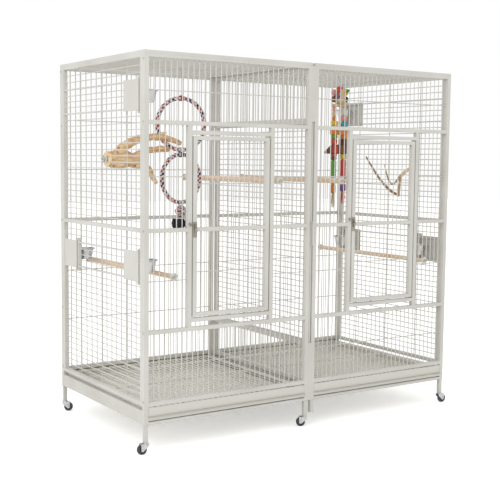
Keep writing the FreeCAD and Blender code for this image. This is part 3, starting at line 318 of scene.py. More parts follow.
def cotton(name, shade):
    """Spun cotton yarn: a matt, slightly furry thread with fine ridges."""
    material, tree, shader = new_material(name, roughness=0.9, sheen_weight=0.25, specular_ior_level=0.1)
    threads = streaks(tree, even(2.2 * MM))
    tree.links.new(blend(tree, threads, shade, darker(shade, 0.72)), shader.inputs["Base Color"])
    roughen(tree, shader, threads, strength=0.5, depth=0.8 * MM)
    return material


def dress(nodes, material):
    """Gives CAD nodes a finish."""
    for name in nodes:
        if name not in frame["nodes"]:
            raise RuntimeError(f"the frame has no piece named {name}")
        finish(frame["nodes"][name], material)


def nodes_in(slot):
    """The CAD nodes that the record puts in a material slot."""
    return [part["node"] for part in frame["record"]["subparts"] if part["material_slot"] == slot]


def only(*pieces):
    """Selects these pieces alone, the last one active."""
    if bpy.context.object and bpy.context.object.mode != "OBJECT":
        bpy.ops.object.mode_set(mode="OBJECT")
    bpy.ops.object.select_all(action="DESELECT")
    for piece in pieces:
        piece.select_set(True)
    bpy.context.view_layer.objects.active = pieces[-1]


def active():
    return bpy.context.object


def settle(piece):
    """Puts a piece's place, turn and scale into its mesh."""
    only(piece)
    bpy.ops.object.transform_apply(location=True, rotation=True, scale=True)
    return piece


def modify(piece, kind, **values):
    """Adds a modifier, sets it and applies it."""
    only(piece)
    modifier = piece.modifiers.new(kind.lower(), kind)
    for name, value in values.items():
        setattr(modifier, name, value)
    bpy.ops.object.modifier_apply(modifier=modifier.name)
    return piece


def cut(piece, tool):
    """Takes a tool's shape out of a piece, and the tool out of the scene."""
    modify(piece, "BOOLEAN", operation="DIFFERENCE", object=tool, solver="EXACT")
    bpy.data.objects.remove(tool)


def copy_of(piece, matrix):
    """A copy with its own mesh, moved by a matrix."""
    other = piece.copy()
    other.data = piece.data.copy()
    other.matrix_world = matrix @ piece.matrix_world
    bpy.context.collection.objects.link(other)
    return settle(other)


def joined(pieces, name):
    """Makes one piece of several."""
    only(*pieces)
    bpy.ops.object.join()
    piece = active()
    piece.name = name
    piece.data.name = name
    return piece


def smooth(piece, degrees=40):
    """Shades a piece smooth, apart from edges sharper than an angle."""
    only(piece)
    bpy.ops.object.shade_smooth_by_angle(angle=math.radians(degrees))
    return piece


def finish(piece, material):
    """Gives a piece one material."""
    piece.data.materials.clear()
    piece.data.materials.append(material)
    return piece


def edit(piece, mode):
    """Clears a piece's selection in edit mode, ready for faces or edges to be chosen."""
    only(piece)
    bpy.ops.object.mode_set(mode="EDIT")
    bpy.ops.mesh.select_mode(type=mode)
    bpy.ops.mesh.select_all(action="DESELECT")
    bpy.ops.object.mode_set(mode="OBJECT")


def choose_facing(piece, direction):
    """Selects the faces that look a given way, and leaves the piece in edit mode."""
    edit(piece, "FACE")
    for face in piece.data.polygons:
        face.select = face.normal.dot(direction) > FACING
    bpy.ops.object.mode_set(mode="EDIT")


def weld_seams(piece, distance=0.02 * MM):
    """Merges doubled points and turns all faces outwards."""
    only(piece)
    bpy.ops.object.mode_set(mode="EDIT")
    bpy.ops.mesh.select_all(action="SELECT")
    bpy.ops.mesh.remove_doubles(threshold=distance)
    bpy.ops.mesh.normals_make_consistent(inside=False)
    bpy.ops.object.mode_set(mode="OBJECT")
    return piece


def begin(primitive, **values):
    """A new primitive, with all else deselected and its place in its mesh."""
    bpy.ops.object.select_all(action="DESELECT")
    primitive(**values)
    return settle(active())


def cylinder(radius, depth, place=(0, 0, 0), sides=24):
    """A cylinder that stands on its place."""
    return begin(bpy.ops.mesh.primitive_cylinder_add, vertices=sides, radius=radius, depth=depth,
                 location=Vector(place) + Z_AXIS * depth / 2)


def cube(size, place):
    """A block of a size along X, Y and Z, with its middle at its place."""
    bpy.ops.object.select_all(action="DESELECT")
    bpy.ops.mesh.primitive_cube_add(size=1, location=place)
    active().scale = size
    return settle(active())


def ring_of(radius, wire, segments, **where):
    """A round ring of wire. radius runs to the middle of the wire, and wire is half its thickness."""
    return begin(bpy.ops.mesh.primitive_torus_add, major_radius=radius, minor_radius=wire,
                 major_segments=segments, minor_segments=10, **where)


def towards(direction):
    """Turns +Z to a direction."""
    return Z_AXIS.rotation_difference(Vector(direction)).to_matrix().to_4x4()


def ride(piece, body, slot, *nodes):
    """Puts a new piece on a body, in place of CAD nodes."""
    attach(piece, body)
    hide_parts(*nodes)


class CAGE_OT_coat_frame(Operator):
    """Coats the welded panels, doors, divider, base, feeder plates, trays and grates"""
    bl_idname = "cage.coat_frame"
    bl_label = "Coat the frame"

    # painted light and shade on the sheets: painted shade at the drawers' fronts, a paler coat behind them
    PAINTED_SHADE_DEPTH = 8 * MM  # depth from the drawers' fronts that carries the full painted shade
    PAINTED_LIGHT_START = 30 * MM  # behind the front, where the paler coat of painted light begins

    def sheet_coat(self):
        """The coat of trays and grates: painted light makes it paler inside, and painted shade darkens the
        drawers' fronts.
        """
        shades = settings("cage_colours")
        material = powder_coat("sheet_coat_painted_light_and_shade", shades.tray, shades.tray_shade)
        tree = material.node_tree
        place = add(tree, "ShaderNodeTexCoord").outputs["Object"]
        depth = add(tree, "ShaderNodeSeparateXYZ", {"Vector": place}).outputs["Y"]
        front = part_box("tray_left")[0].y
        # painted shade: the coat darkens to the front shade towards the drawers' fronts, and the paler coat
        # behind them is painted light
        retint(tree, depth, shades.tray_front_painted_shade, (front + self.PAINTED_SHADE_DEPTH, front + self.PAINTED_LIGHT_START), (1, 0))
        return material

    def execute(self, context):
        shades = settings("cage_colours")
        dress(nodes_in("coated_steel"), powder_coat("satin_powder_coat", shades.coat, shades.coat_shade))
        dress(nodes_in("coated_sheet"), self.sheet_coat())
        return {"FINISHED"}


class CAGE_OT_plate_hardware(Operator):
    """Plates the latches, caster forks and mounts, and finishes the bowls and wheels"""
    bl_idname = "cage.plate_hardware"
    bl_label = "Plate the hardware"

    REPLACED = ("perch_fasteners", "panel_bolts")  # modelled anew in later steps

    def execute(self, context):
        plated = [name for name in nodes_in("bright_steel") if name not in self.REPLACED]
        latches = [name for name in plated if name.startswith("latch")]
        dress([name for name in plated if name not in latches], bright_zinc())
        dress(latches, zinc("aged_zinc", settings("cage_colours").latch, 0.4))
        dress(nodes_in("stainless"), spun_stainless())
        dress(nodes_in("caster_plastic"), moulded_wheel())
        return {"FINISHED"}


class CAGE_OT_finish_dowels(Operator):
    """Gives the four dowel perches their pine grain"""
    bl_idname = "cage.finish_dowels"
    bl_label = "Finish the dowels"

    STREAK = 30  # length of a streak along the dowel, in widths

    def execute(self, context):
        shades = settings("cage_colours")
        ring = settings("cage_sizes").pine_ring
        pine = sawn_wood("sanded_pine", shades.pine, shades.pine_grain, (ring, self.STREAK * ring, ring))
        dress(nodes_in("pine"), pine)
        return {"FINISHED"}


class CAGE_OT_turn_bolts(Operator):
    """Dome-headed bolts with a hexagon socket, where the panels join"""
    bl_idname = "cage.turn_bolts"
    bl_label = "Turn the bolts"

    LEVELS = (0.209, 0.484, 0.885, 1.307, 1.548)  # heights of the bolts on each post
    RADIUS = 4.5 * MM
    HEIGHT = 3 * MM
    DOME = 2 * MM  # rounding of the head's edge
    SOCKET = 1.6 * MM  # radius of the hexagon
    SOCKET_FLOOR = 1.2 * MM

    def head(self):
        """A bolt's head with a rounded edge and its socket."""
        head = cylinder(self.RADIUS, self.HEIGHT)
        edit(head, "EDGE")
        for edge in head.data.edges:
            edge.select = all(head.data.vertices[i].co.z > self.HEIGHT / 2 for i in edge.vertices)
        bpy.ops.object.mode_set(mode="EDIT")
        bpy.ops.mesh.bevel(offset=self.DOME, segments=4, affect="EDGES")
        bpy.ops.object.mode_set(mode="OBJECT")
        cut(head, cylinder(self.SOCKET, self.HEIGHT, (0, 0, self.SOCKET_FLOOR), 6))
        return smooth(head)

    def execute(self, context):
        low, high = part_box("panel_bolts")
        model = self.head()
        heads = []
        for x, outwards in ((low.x + self.HEIGHT, -X_AXIS), (high.x - self.HEIGHT, X_AXIS)):
            for y in (low.y + self.RADIUS, high.y - self.RADIUS):
                for z in self.LEVELS:
                    heads.append(copy_of(model, Matrix.Translation((x, y, z)) @ towards(outwards)))
        bpy.data.objects.remove(model)
        bolts = finish(joined(heads, "dome_bolts"), bright_zinc())
        ride(bolts, "cage", "bright_steel", "panel_bolts")
        return {"FINISHED"}


class CAGE_OT_fit_wing_nuts(Operator):
    """Washers, bolts and wing nuts that hold the perches to the panels"""
    bl_idname = "cage.fit_wing_nuts"
    bl_label = "Fit the wing nuts"

    SEAT = 7.4 * MM  # washers' inner face behind the panel's outer face
    GRIP = 4.4 * MM  # bolt between the wires
    WASHER = 16 * MM
    THICK = 2 * MM
    BOLT = 3 * MM
    REACH = 18.4 * MM  # nut and bolt end, outside the washer
    HUB = 6 * MM
    HUB_HEIGHT = 9 * MM
    HUB_TAPER = 0.72
    WING = (9 * MM, 2.4 * MM, 7 * MM)  # size of a wing's root
    WING_OUT = 8 * MM  # middle of the root, from the bolt
    WING_UP = 6 * MM  # middle of the root, from the washer
    TIP_OUT = 2.5 * MM  # a wing's tip, from its root
    TIP_UP = 4 * MM
    TURN = math.radians(25)  # of the wings about the bolt

    def fastener(self):
        """A coated washer, and a bolt and wing nut of dull zinc."""
        washer = cylinder(self.WASHER, self.THICK, sides=32)
        modify(washer, "BEVEL", width=0.4 * MM, segments=2, limit_method="ANGLE")
        bolt = cylinder(self.BOLT, self.GRIP + self.THICK + self.REACH, (0, 0, -self.GRIP), 20)
        modify(bolt, "BEVEL", width=0.5 * MM, segments=2, limit_method="ANGLE")
        hub = cylinder(self.HUB, self.HUB_HEIGHT, (0, 0, self.THICK), 20)
        choose_facing(hub, Z_AXIS)
        bpy.ops.transform.resize(value=(self.HUB_TAPER, self.HUB_TAPER, 1))
        bpy.ops.object.mode_set(mode="OBJECT")
        modify(hub, "BEVEL", width=0.6 * MM, segments=2, limit_method="ANGLE")
        parts = [washer, bolt, hub]
        for side in (-1, 1):
            wing = cube(self.WING, (side * self.WING_OUT, 0, self.THICK + self.WING_UP))
            choose_facing(wing, X_AXIS * side)
            tip = (side * self.TIP_OUT, 0, self.TIP_UP)
            bpy.ops.mesh.extrude_region_move(TRANSFORM_OT_translate={"value": tip})
            bpy.ops.object.mode_set(mode="OBJECT")
            modify(wing, "BEVEL", width=1 * MM, segments=3)
            parts.append(wing)
        shades = settings("cage_colours")
        dull = zinc("dull_zinc_plate", shades.nut, 0.5)
        for part in parts:
            finish(part, dull)
        finish(washer, powder_coat("coated_washers", shades.coat, shades.coat_shade))
        return smooth(joined(parts, "fastener"))

    def execute(self, context):
        front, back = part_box("front_panel_left")[0].y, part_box("back_panel_left")[1].y
        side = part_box("roof_panel_right")[1].x
        spots = []
        for name in nodes_in("pine"):
            low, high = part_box(name)
            middle = (low + high) / 2
            spots.append(((middle.x, front + self.SEAT, middle.z), -Y_AXIS))
            spots.append(((middle.x, back - self.SEAT, middle.z), Y_AXIS))
        spots.append(((self.SEAT - side, BRANCH_SEAT.y, BRANCH_SEAT.z), -X_AXIS))
        spots.append(((side - self.SEAT, TWIG_SEAT.y, TWIG_SEAT.z), X_AXIS))
        model = self.fastener()
        turn = Matrix.Rotation(self.TURN, 4, "Z")
        copies = [copy_of(model, Matrix.Translation(place) @ towards(way) @ turn) for place, way in spots]
        bpy.data.objects.remove(model)
        nuts = joined(copies, "wing_nuts")
        ride(nuts, "cage", "bright_steel", "perch_fasteners")
        return {"FINISHED"}


def limb(points, seat):
    """A tapering limb through points from its seat, in millimetres, each with its radius."""
    bpy.ops.object.select_all(action="DESELECT")
    bpy.ops.curve.primitive_nurbs_path_add()
    path = active()
    data = path.data
    data.splines.clear()
    spline = data.splines.new("NURBS")
    spline.points.add(len(points) - 1)
    for point, (x, y, z, radius) in zip(spline.points, points):
        point.co = (*(seat + Vector((x, y, z)) * MM), 1)
        point.radius = radius
    spline.order_u = 3
    spline.use_endpoint_u = True
    spline.resolution_u = 10
    data.bevel_depth = MM
    data.bevel_resolution = 6
    data.use_fill_caps = True
    path.location = (0, 0, 0)
    only(path)
    bpy.ops.object.convert(target="MESH")
    return weld_seams(settle(active()))


def grown(limbs, name, voxel, lumps, lump_size):
    """Joins limbs into one piece of wood and gives it lumps and hollows."""
    piece = joined(limbs, name)
    modify(piece, "REMESH", mode="VOXEL", voxel_size=voxel, use_smooth_shade=True)
    modify(piece, "SMOOTH", factor=0.6, iterations=4)
    texture = bpy.data.textures.new(f"{name}_lumps", "CLOUDS")
    texture.noise_scale = lump_size
    texture.noise_depth = 2
    modify(piece, "DISPLACE", texture=texture, texture_coords="LOCAL", strength=lumps)
    bpy.data.textures.remove(texture)
    return smooth(piece, 60)


class CAGE_OT_carve_branch(Operator):
    """The forked branch perch on the left side panel"""
    bl_idname = "cage.carve_branch"
    bl_label = "Carve the branch"

    # each limb's points: X, Y and Z from the seat, and the radius, in millimetres
    LIMBS = (
        ((5, 0, 0, 29), (18, -2, 2, 32), (60, 0, 0, 32), (100, -6, -6, 29), (132, -8, -12, 26),
         (160, -12, -24, 22), (185, -15, -42, 18), (205, -18, -72, 14), (224, -21, -105, 9)),
        ((35, 0, 12, 19), (60, 0, 34, 20), (82, 0, 52, 21), (120, -3, 76, 19), (170, -5, 91, 17),
         (220, -8, 96, 16), (262, -10, 94, 15), (310, -10, 84, 13), (350, -10, 70, 10)),
        ((100, 0, 5, 15), (150, 0, 22, 14), (190, 0, 37, 14), (236, 0, 42, 12), (258, 0, 44, 16),
         (276, 0, 44, 12), (295, 0, 44, 10)),
        ((10, 4, 4, 20), (55, 14, 22, 15), (110, 18, 26, 10), (140, 16, 14, 7)),
        ((6, -8, 10, 22), (26, -14, 18, 20), (46, -10, 20, 12)),
        ((18, -4, -16, 22), (46, -10, -24, 20), (74, -12, -27, 14), (98, -10, -20, 9)),
        ((232, -8, 94, 12), (262, -2, 110, 9), (282, 2, 116, 6)),
    )
    GRAIN = (7, 1.6, 1.6)  # length of a streak along X, Y and Z, in streak widths
    GRAIN_TILT = math.radians(12)  # the branch rises from its seat
    KNOTS = 48 * MM  # between the knots
    KNOT_SPAN = (0.07, 0.17)  # dark middle and faded rim of a knot, of the distance between them
    END = 35 * MM  # radius of the sawn end
    END_DEPTH = 9 * MM
    END_OVAL = (0.94, 1.04)
    RING = 4 * MM  # between the growth rings of the sawn end
    WAVE = 2 * math.pi / 20  # between the rings of a wave texture at scale 1

    def wood(self):
        """Hard wood sanded smooth: streaks along the branch, and dark knots here and there."""
        shades = settings("cage_colours")
        streak = settings("cage_sizes").branch_streak
        material = sawn_wood("sanded_hard_wood", shades.branch, shades.branch_grain,
                             [share * streak for share in self.GRAIN], 0.5, (0, self.GRAIN_TILT, 0))
        tree = material.node_tree
        place = add(tree, "ShaderNodeTexCoord").outputs["Object"]
        spots = add(tree, "ShaderNodeTexVoronoi", {"Vector": place, "Scale": 1 / self.KNOTS})
        retint(tree, spots.outputs["Distance"], shades.branch_knot, self.KNOT_SPAN, (0.85, 0))
        return material

    def end_grain(self):
        """Sawn end grain: pale wood with growth rings round the pith."""
        material, tree, shader = new_material("sawn_end_grain", roughness=0.65)
        place = add(tree, "ShaderNodeTexCoord").outputs["Object"]
        centred = add(tree, "ShaderNodeMapping", {"Vector": place, "Location": -BRANCH_SEAT})
        rings = add(tree, "ShaderNodeTexWave", {"Vector": centred.outputs["Vector"], "Distortion": 1.2,
                                                "Scale": self.WAVE / self.RING, "Detail Scale": 0.5},
                    wave_type="RINGS", rings_direction="X").outputs["Fac"]
        tint = blend(tree, rings, linear("EDD5AE"), settings("cage_colours").branch_grain, (0, 1), (0, 0.5))
        tree.links.new(tint, shader.inputs["Base Color"])
        roughen(tree, shader, rings, strength=0.3, depth=0.4 * MM)
        return material

    def sawn_end(self):
        """The end by the panel, sawn square: an oval disc with an eased rim."""
        disc = cylinder(self.END, self.END_DEPTH, sides=48)
        modify(disc, "BEVEL", width=2.5 * MM, segments=3, limit_method="ANGLE")
        oval = Matrix.Diagonal((*self.END_OVAL, 1, 1))
        disc.matrix_world = Matrix.Translation(BRANCH_SEAT) @ towards(X_AXIS) @ oval
        return smooth(finish(settle(disc), self.end_grain()))

    def execute(self, context):
        limbs = [limb(points, BRANCH_SEAT) for points in self.LIMBS]
        lumpy = grown(limbs, "branch", voxel=3 * MM, lumps=9 * MM, lump_size=28 * MM)
        branch = joined([self.sawn_end(), finish(lumpy, self.wood())], "branch")
        ride(branch, "cage", "hard_wood", "branch_perch")
        return {"FINISHED"}


class CAGE_OT_grow_twig(Operator):
    """The thin forked twig perch on the right side panel"""
    bl_idname = "cage.grow_twig"
    bl_label = "Grow the twig"

    # each limb's points: X, Y and Z from the seat, and the radius, in millimetres
    LIMBS = (
        ((0, 0, 0, 9), (-30, 0, -6, 10), (-55, 0, -16, 8), (-80, 0, -32, 9), (-102, 0, -52, 8)),
        ((-94, 0, -42, 7), (-99, 0, -75, 6), (-101, 0, -110, 6), (-106, 0, -142, 6)),
        ((-98, 0, -136, 6), (-125, 0, -130, 6.5), (-160, 0, -113, 6.5), (-200, 0, -83, 6),
         (-240, 0, -45, 5.5), (-285, 0, 8, 4.5), (-317, 0, 50, 3.5)),
        ((-98, 2, -48, 6), (-120, 4, -72, 4.5), (-140, 5, -86, 4.5), (-162, 6, -68, 4), (-182, 6, -30, 3.2),
         (-194, 6, 12, 2.4)),
    )
    CREASES = (16 * MM, 12 * MM, 22 * MM)
    BARK = 130 * MM  # from the seat, where whole bark begins
    RUBBED = 70 * MM  # from the seat, up to which the bark is rubbed down

    def bark(self):
        """Dry bark with dark creases, which is rubbed down to pale wood towards the seat."""
        shades = settings("cage_colours")
        material = sawn_wood("dry_bark", shades.twig, shades.twig_grain, self.CREASES, 0.75)
        tree = material.node_tree
        place = add(tree, "ShaderNodeTexCoord").outputs["Object"]
        along = add(tree, "ShaderNodeSeparateXYZ", {"Vector": place}).outputs["X"]
        worn = TWIG_SEAT.x - self.BARK, TWIG_SEAT.x - self.RUBBED
        retint(tree, along, shades.branch, worn, (0, 0.75))
        return material

    def execute(self, context):
        limbs = [limb(points, TWIG_SEAT) for points in self.LIMBS]
        lumpy = grown(limbs, "twig", voxel=1.4 * MM, lumps=1.6 * MM, lump_size=12 * MM)
        ride(finish(lumpy, self.bark()), "cage", "hard_wood", "twig_perch")
        return {"FINISHED"}


def rope_ring(radius, thickness, lay, strand_finishes):
    """A closed ring of braided rope in the XZ plane, whose strands turn both ways round.

    The strands touch each other and fill the rope's thickness.
    """
    count = len(strand_finishes)
    girth = 2 * math.pi * radius
    turns = max(2, round(girth / lay))
    strand = thickness / 2 / (1 + 1 / math.sin(math.pi / count))
    offset = thickness / 2 - strand
    steps = turns * STRAND_STEPS
    layers = []
    for hand in (-1, 1):
        strands = []
        for index, material in enumerate(strand_finishes):
            piece = begin(bpy.ops.mesh.primitive_cylinder_add, vertices=STRAND_SIDES, radius=strand,
                          depth=girth / steps, end_fill_type="NOTHING", rotation=(0, math.pi / 2, 0))
            modify(piece, "ARRAY", count=steps, use_merge_vertices=True, merge_threshold=0.01 * MM)
            angle = 2 * math.pi * index / count
            across = offset * math.cos(angle), offset * math.sin(angle)
            piece.location = (-girth / 2 + girth / steps / 2, *across)
            strands.append(finish(settle(piece), material))
        layer = joined(strands, "layer")
        angle = hand * 2 * math.pi * turns
        layers.append(modify(layer, "SIMPLE_DEFORM", deform_method="TWIST", deform_axis="X", angle=angle))
    ring = joined(layers, "ring")
    modify(ring, "SIMPLE_DEFORM", deform_method="BEND", deform_axis="Z", angle=2 * math.pi)
    ring.matrix_world = Matrix.Rotation(math.pi / 2, 4, "X") @ Matrix.Translation((0, -radius, 0))
    return smooth(weld_seams(settle(ring), 0.2 * MM), 80)


def binding(radius, thread, turns, material):
    """A tight winding of thread round the Z axis, with closed ends."""
    piece = begin(bpy.ops.mesh.primitive_circle_add, vertices=8, radius=thread / 2, fill_type="NOTHING",
                  location=(radius, 0, 0), rotation=(math.pi / 2, 0, 0))
    modify(piece, "SCREW", axis="Z", angle=2 * math.pi, screw_offset=thread, iterations=turns, steps=20,
           render_steps=20)
    edit(piece, "EDGE")
    bpy.ops.object.mode_set(mode="EDIT")
    bpy.ops.mesh.select_non_manifold()
    bpy.ops.mesh.edge_face_add()
    bpy.ops.object.mode_set(mode="OBJECT")
    piece.location.z = -thread * turns / 2
    return smooth(finish(weld_seams(settle(piece)), material), 80)


def tuft(top, reach, spread, yarns, thickness, material, draws):
    """A bundle of hanging yarns that part towards their ends, the outer ones shorter."""
    strands = []
    for index in range(yarns):
        angle = index * GOLDEN_ANGLE
        share = math.sqrt((index + 0.5) / yarns)
        ragged = YARN_RAGGED * draws.random()
        rounded = YARN_ROUNDED * share ** 4
        reach_here = reach * (1 - ragged - rounded)
        yarn = cylinder(thickness / 2, reach_here, sides=6)
        choose_facing(yarn, -Z_AXIS)
        bpy.ops.transform.resize(value=(YARN_TIP, YARN_TIP, 1))
        bpy.ops.object.mode_set(mode="OBJECT")
        lean = Vector((math.cos(angle), math.sin(angle), 0)) * share
        modify(yarn, "BEVEL", width=0.25 * thickness, segments=1, limit_method="ANGLE")
        root = top + lean * spread * YARN_ROOTS
        tip = top + lean * spread - Z_AXIS * reach_here
        yarn.matrix_world = Matrix.Translation(tip) @ towards(root - tip)
        strands.append(settle(yarn))
    return smooth(finish(joined(strands, "tuft"), material))


def hanger(place, end, material):
    """The wire hook round a roof wire, and the shank below it with its wound wire."""
    link = ring_of(LINK, LINK_WIRE, 32, rotation=(0, math.pi / 2, 0),
                   location=(place.x, place.y, LINK_MIDDLE))
    shank = cylinder(SHANK, SHANK_TOP - end, (place.x, place.y, end), 12)
    wrap = binding(SHANK_WRAP, WOUND_WIRE, WOUND_TURNS, material)
    wrap.location = (place.x, place.y, SHANK_TOP - SHANK_WRAP_DROP)
    return [smooth(finish(part, material)) for part in (link, shank, settle(wrap))]


class CAGE_OT_tie_rope_toy(Operator):
    """Two rings of braided cotton rope, bound together, with a knot and dark tassels"""
    bl_idname = "cage.tie_rope_toy"
    bl_label = "Tie the rope toy"

    PLACE = Vector((-0.355, 0.1125, 0))
    TOP = 1.449
    SHANK_END = TOP - 12 * MM  # lower end of the hanger, in the rope
    # each ring: height of its middle, radius, and turn about Z
    UPPER = (1.323, 0.116, math.radians(-6))
    LOWER = (1.0777, 0.109, math.radians(9))
    BINDING = 11.5 * MM  # radius of the windings round the rings
    BINDING_THREAD = 3.4 * MM
    BINDING_TURNS = 4
    KNOT = 0.9294  # middle of the knot
    KNOT_LOOP = 19 * MM  # radius of the knot's loops, and thickness of their rope
    KNOT_LAY = 60 * MM
    KNOT_TILTS = ((0, "X"), (90, "X"), (58, "Y"), (-58, "Y"))
    COLLAR = 0.8951  # underside of the collar
    COLLAR_RADIUS = 26 * MM
    COLLAR_HEIGHT = 5 * MM
    COLLAR_BINDING = 28 * MM  # radius of the winding round the collar
    COLLAR_THREAD = 2.5 * MM
    COLLAR_TURNS = 2
    TASSELS = 21 * MM  # their places from the middle, along X and Y
    TASSEL_REACH = 48 * MM
    TASSEL_SPREAD = 13 * MM
    YARNS = 40
    YARN = 4.4 * MM
    SEED = 11

    def execute(self, context):
        shades, sizes = settings("cage_colours"), settings("cage_sizes")
        white = cotton("undyed_cotton", shades.rope_white)
        red = cotton("red_cotton", shades.rope_red)
        navy = cotton("navy_cotton", shades.rope_navy)
        dark = cotton("dark_yarn", shades.tassel)
        colours = [white, red, white, navy, white, red][:sizes.strands]
        at = Matrix.Translation(self.PLACE)
        parts = hanger(self.PLACE, self.SHANK_END, bright_zinc())
        for height, radius, turn in (self.UPPER, self.LOWER):
            ring = rope_ring(radius, sizes.rope, sizes.rope_lay, colours)
            ring.matrix_world = at @ Matrix.Translation((0, 0, height)) @ Matrix.Rotation(turn, 4, "Z")
            parts.append(settle(ring))
        for height, turn, thread in ((self.TOP - sizes.rope / 2, self.UPPER[2], red),
                                     (self.LOWER[0] + self.LOWER[1], self.LOWER[2], navy),
                                     (self.UPPER[0] - self.UPPER[1], self.UPPER[2], white)):
            wrap = binding(self.BINDING, self.BINDING_THREAD, self.BINDING_TURNS, thread)
            wrap.matrix_world = (at @ Matrix.Translation((0, 0, height)) @ Matrix.Rotation(turn, 4, "Z")
                                 @ towards(X_AXIS))
            parts.append(settle(wrap))
        loop = rope_ring(self.KNOT_LOOP, self.KNOT_LOOP, self.KNOT_LAY, colours)
        for tilt, axis in self.KNOT_TILTS:
            turned = Matrix.Rotation(math.radians(tilt), 4, axis)
            parts.append(copy_of(loop, at @ Matrix.Translation((0, 0, self.KNOT)) @ turned))
        bpy.data.objects.remove(loop)
        collar = cylinder(self.COLLAR_RADIUS, self.COLLAR_HEIGHT, self.PLACE + Z_AXIS * self.COLLAR, 32)
        parts.append(finish(collar, dark))
        wrap = binding(self.COLLAR_BINDING, self.COLLAR_THREAD, self.COLLAR_TURNS, white)
        wrap.matrix_world = at @ Matrix.Translation((0, 0, self.COLLAR + self.COLLAR_HEIGHT / 2))
        parts.append(settle(wrap))
        model = tuft(Vector(), self.TASSEL_REACH, self.TASSEL_SPREAD, self.YARNS, self.YARN, dark,
                     random.Random(self.SEED))
        for number in range(4):
            turned = Matrix.Rotation(math.radians(90 * number), 4, "Z")
            step = turned @ Vector((self.TASSELS, self.TASSELS, self.COLLAR))
            parts.append(copy_of(model, at @ Matrix.Translation(step) @ turned))
        bpy.data.objects.remove(model)
        toy = joined(parts, "rope_toy")
        ride(toy, "rope_toy", "rope", "rope_ring_toy")
        return {"FINISHED"}


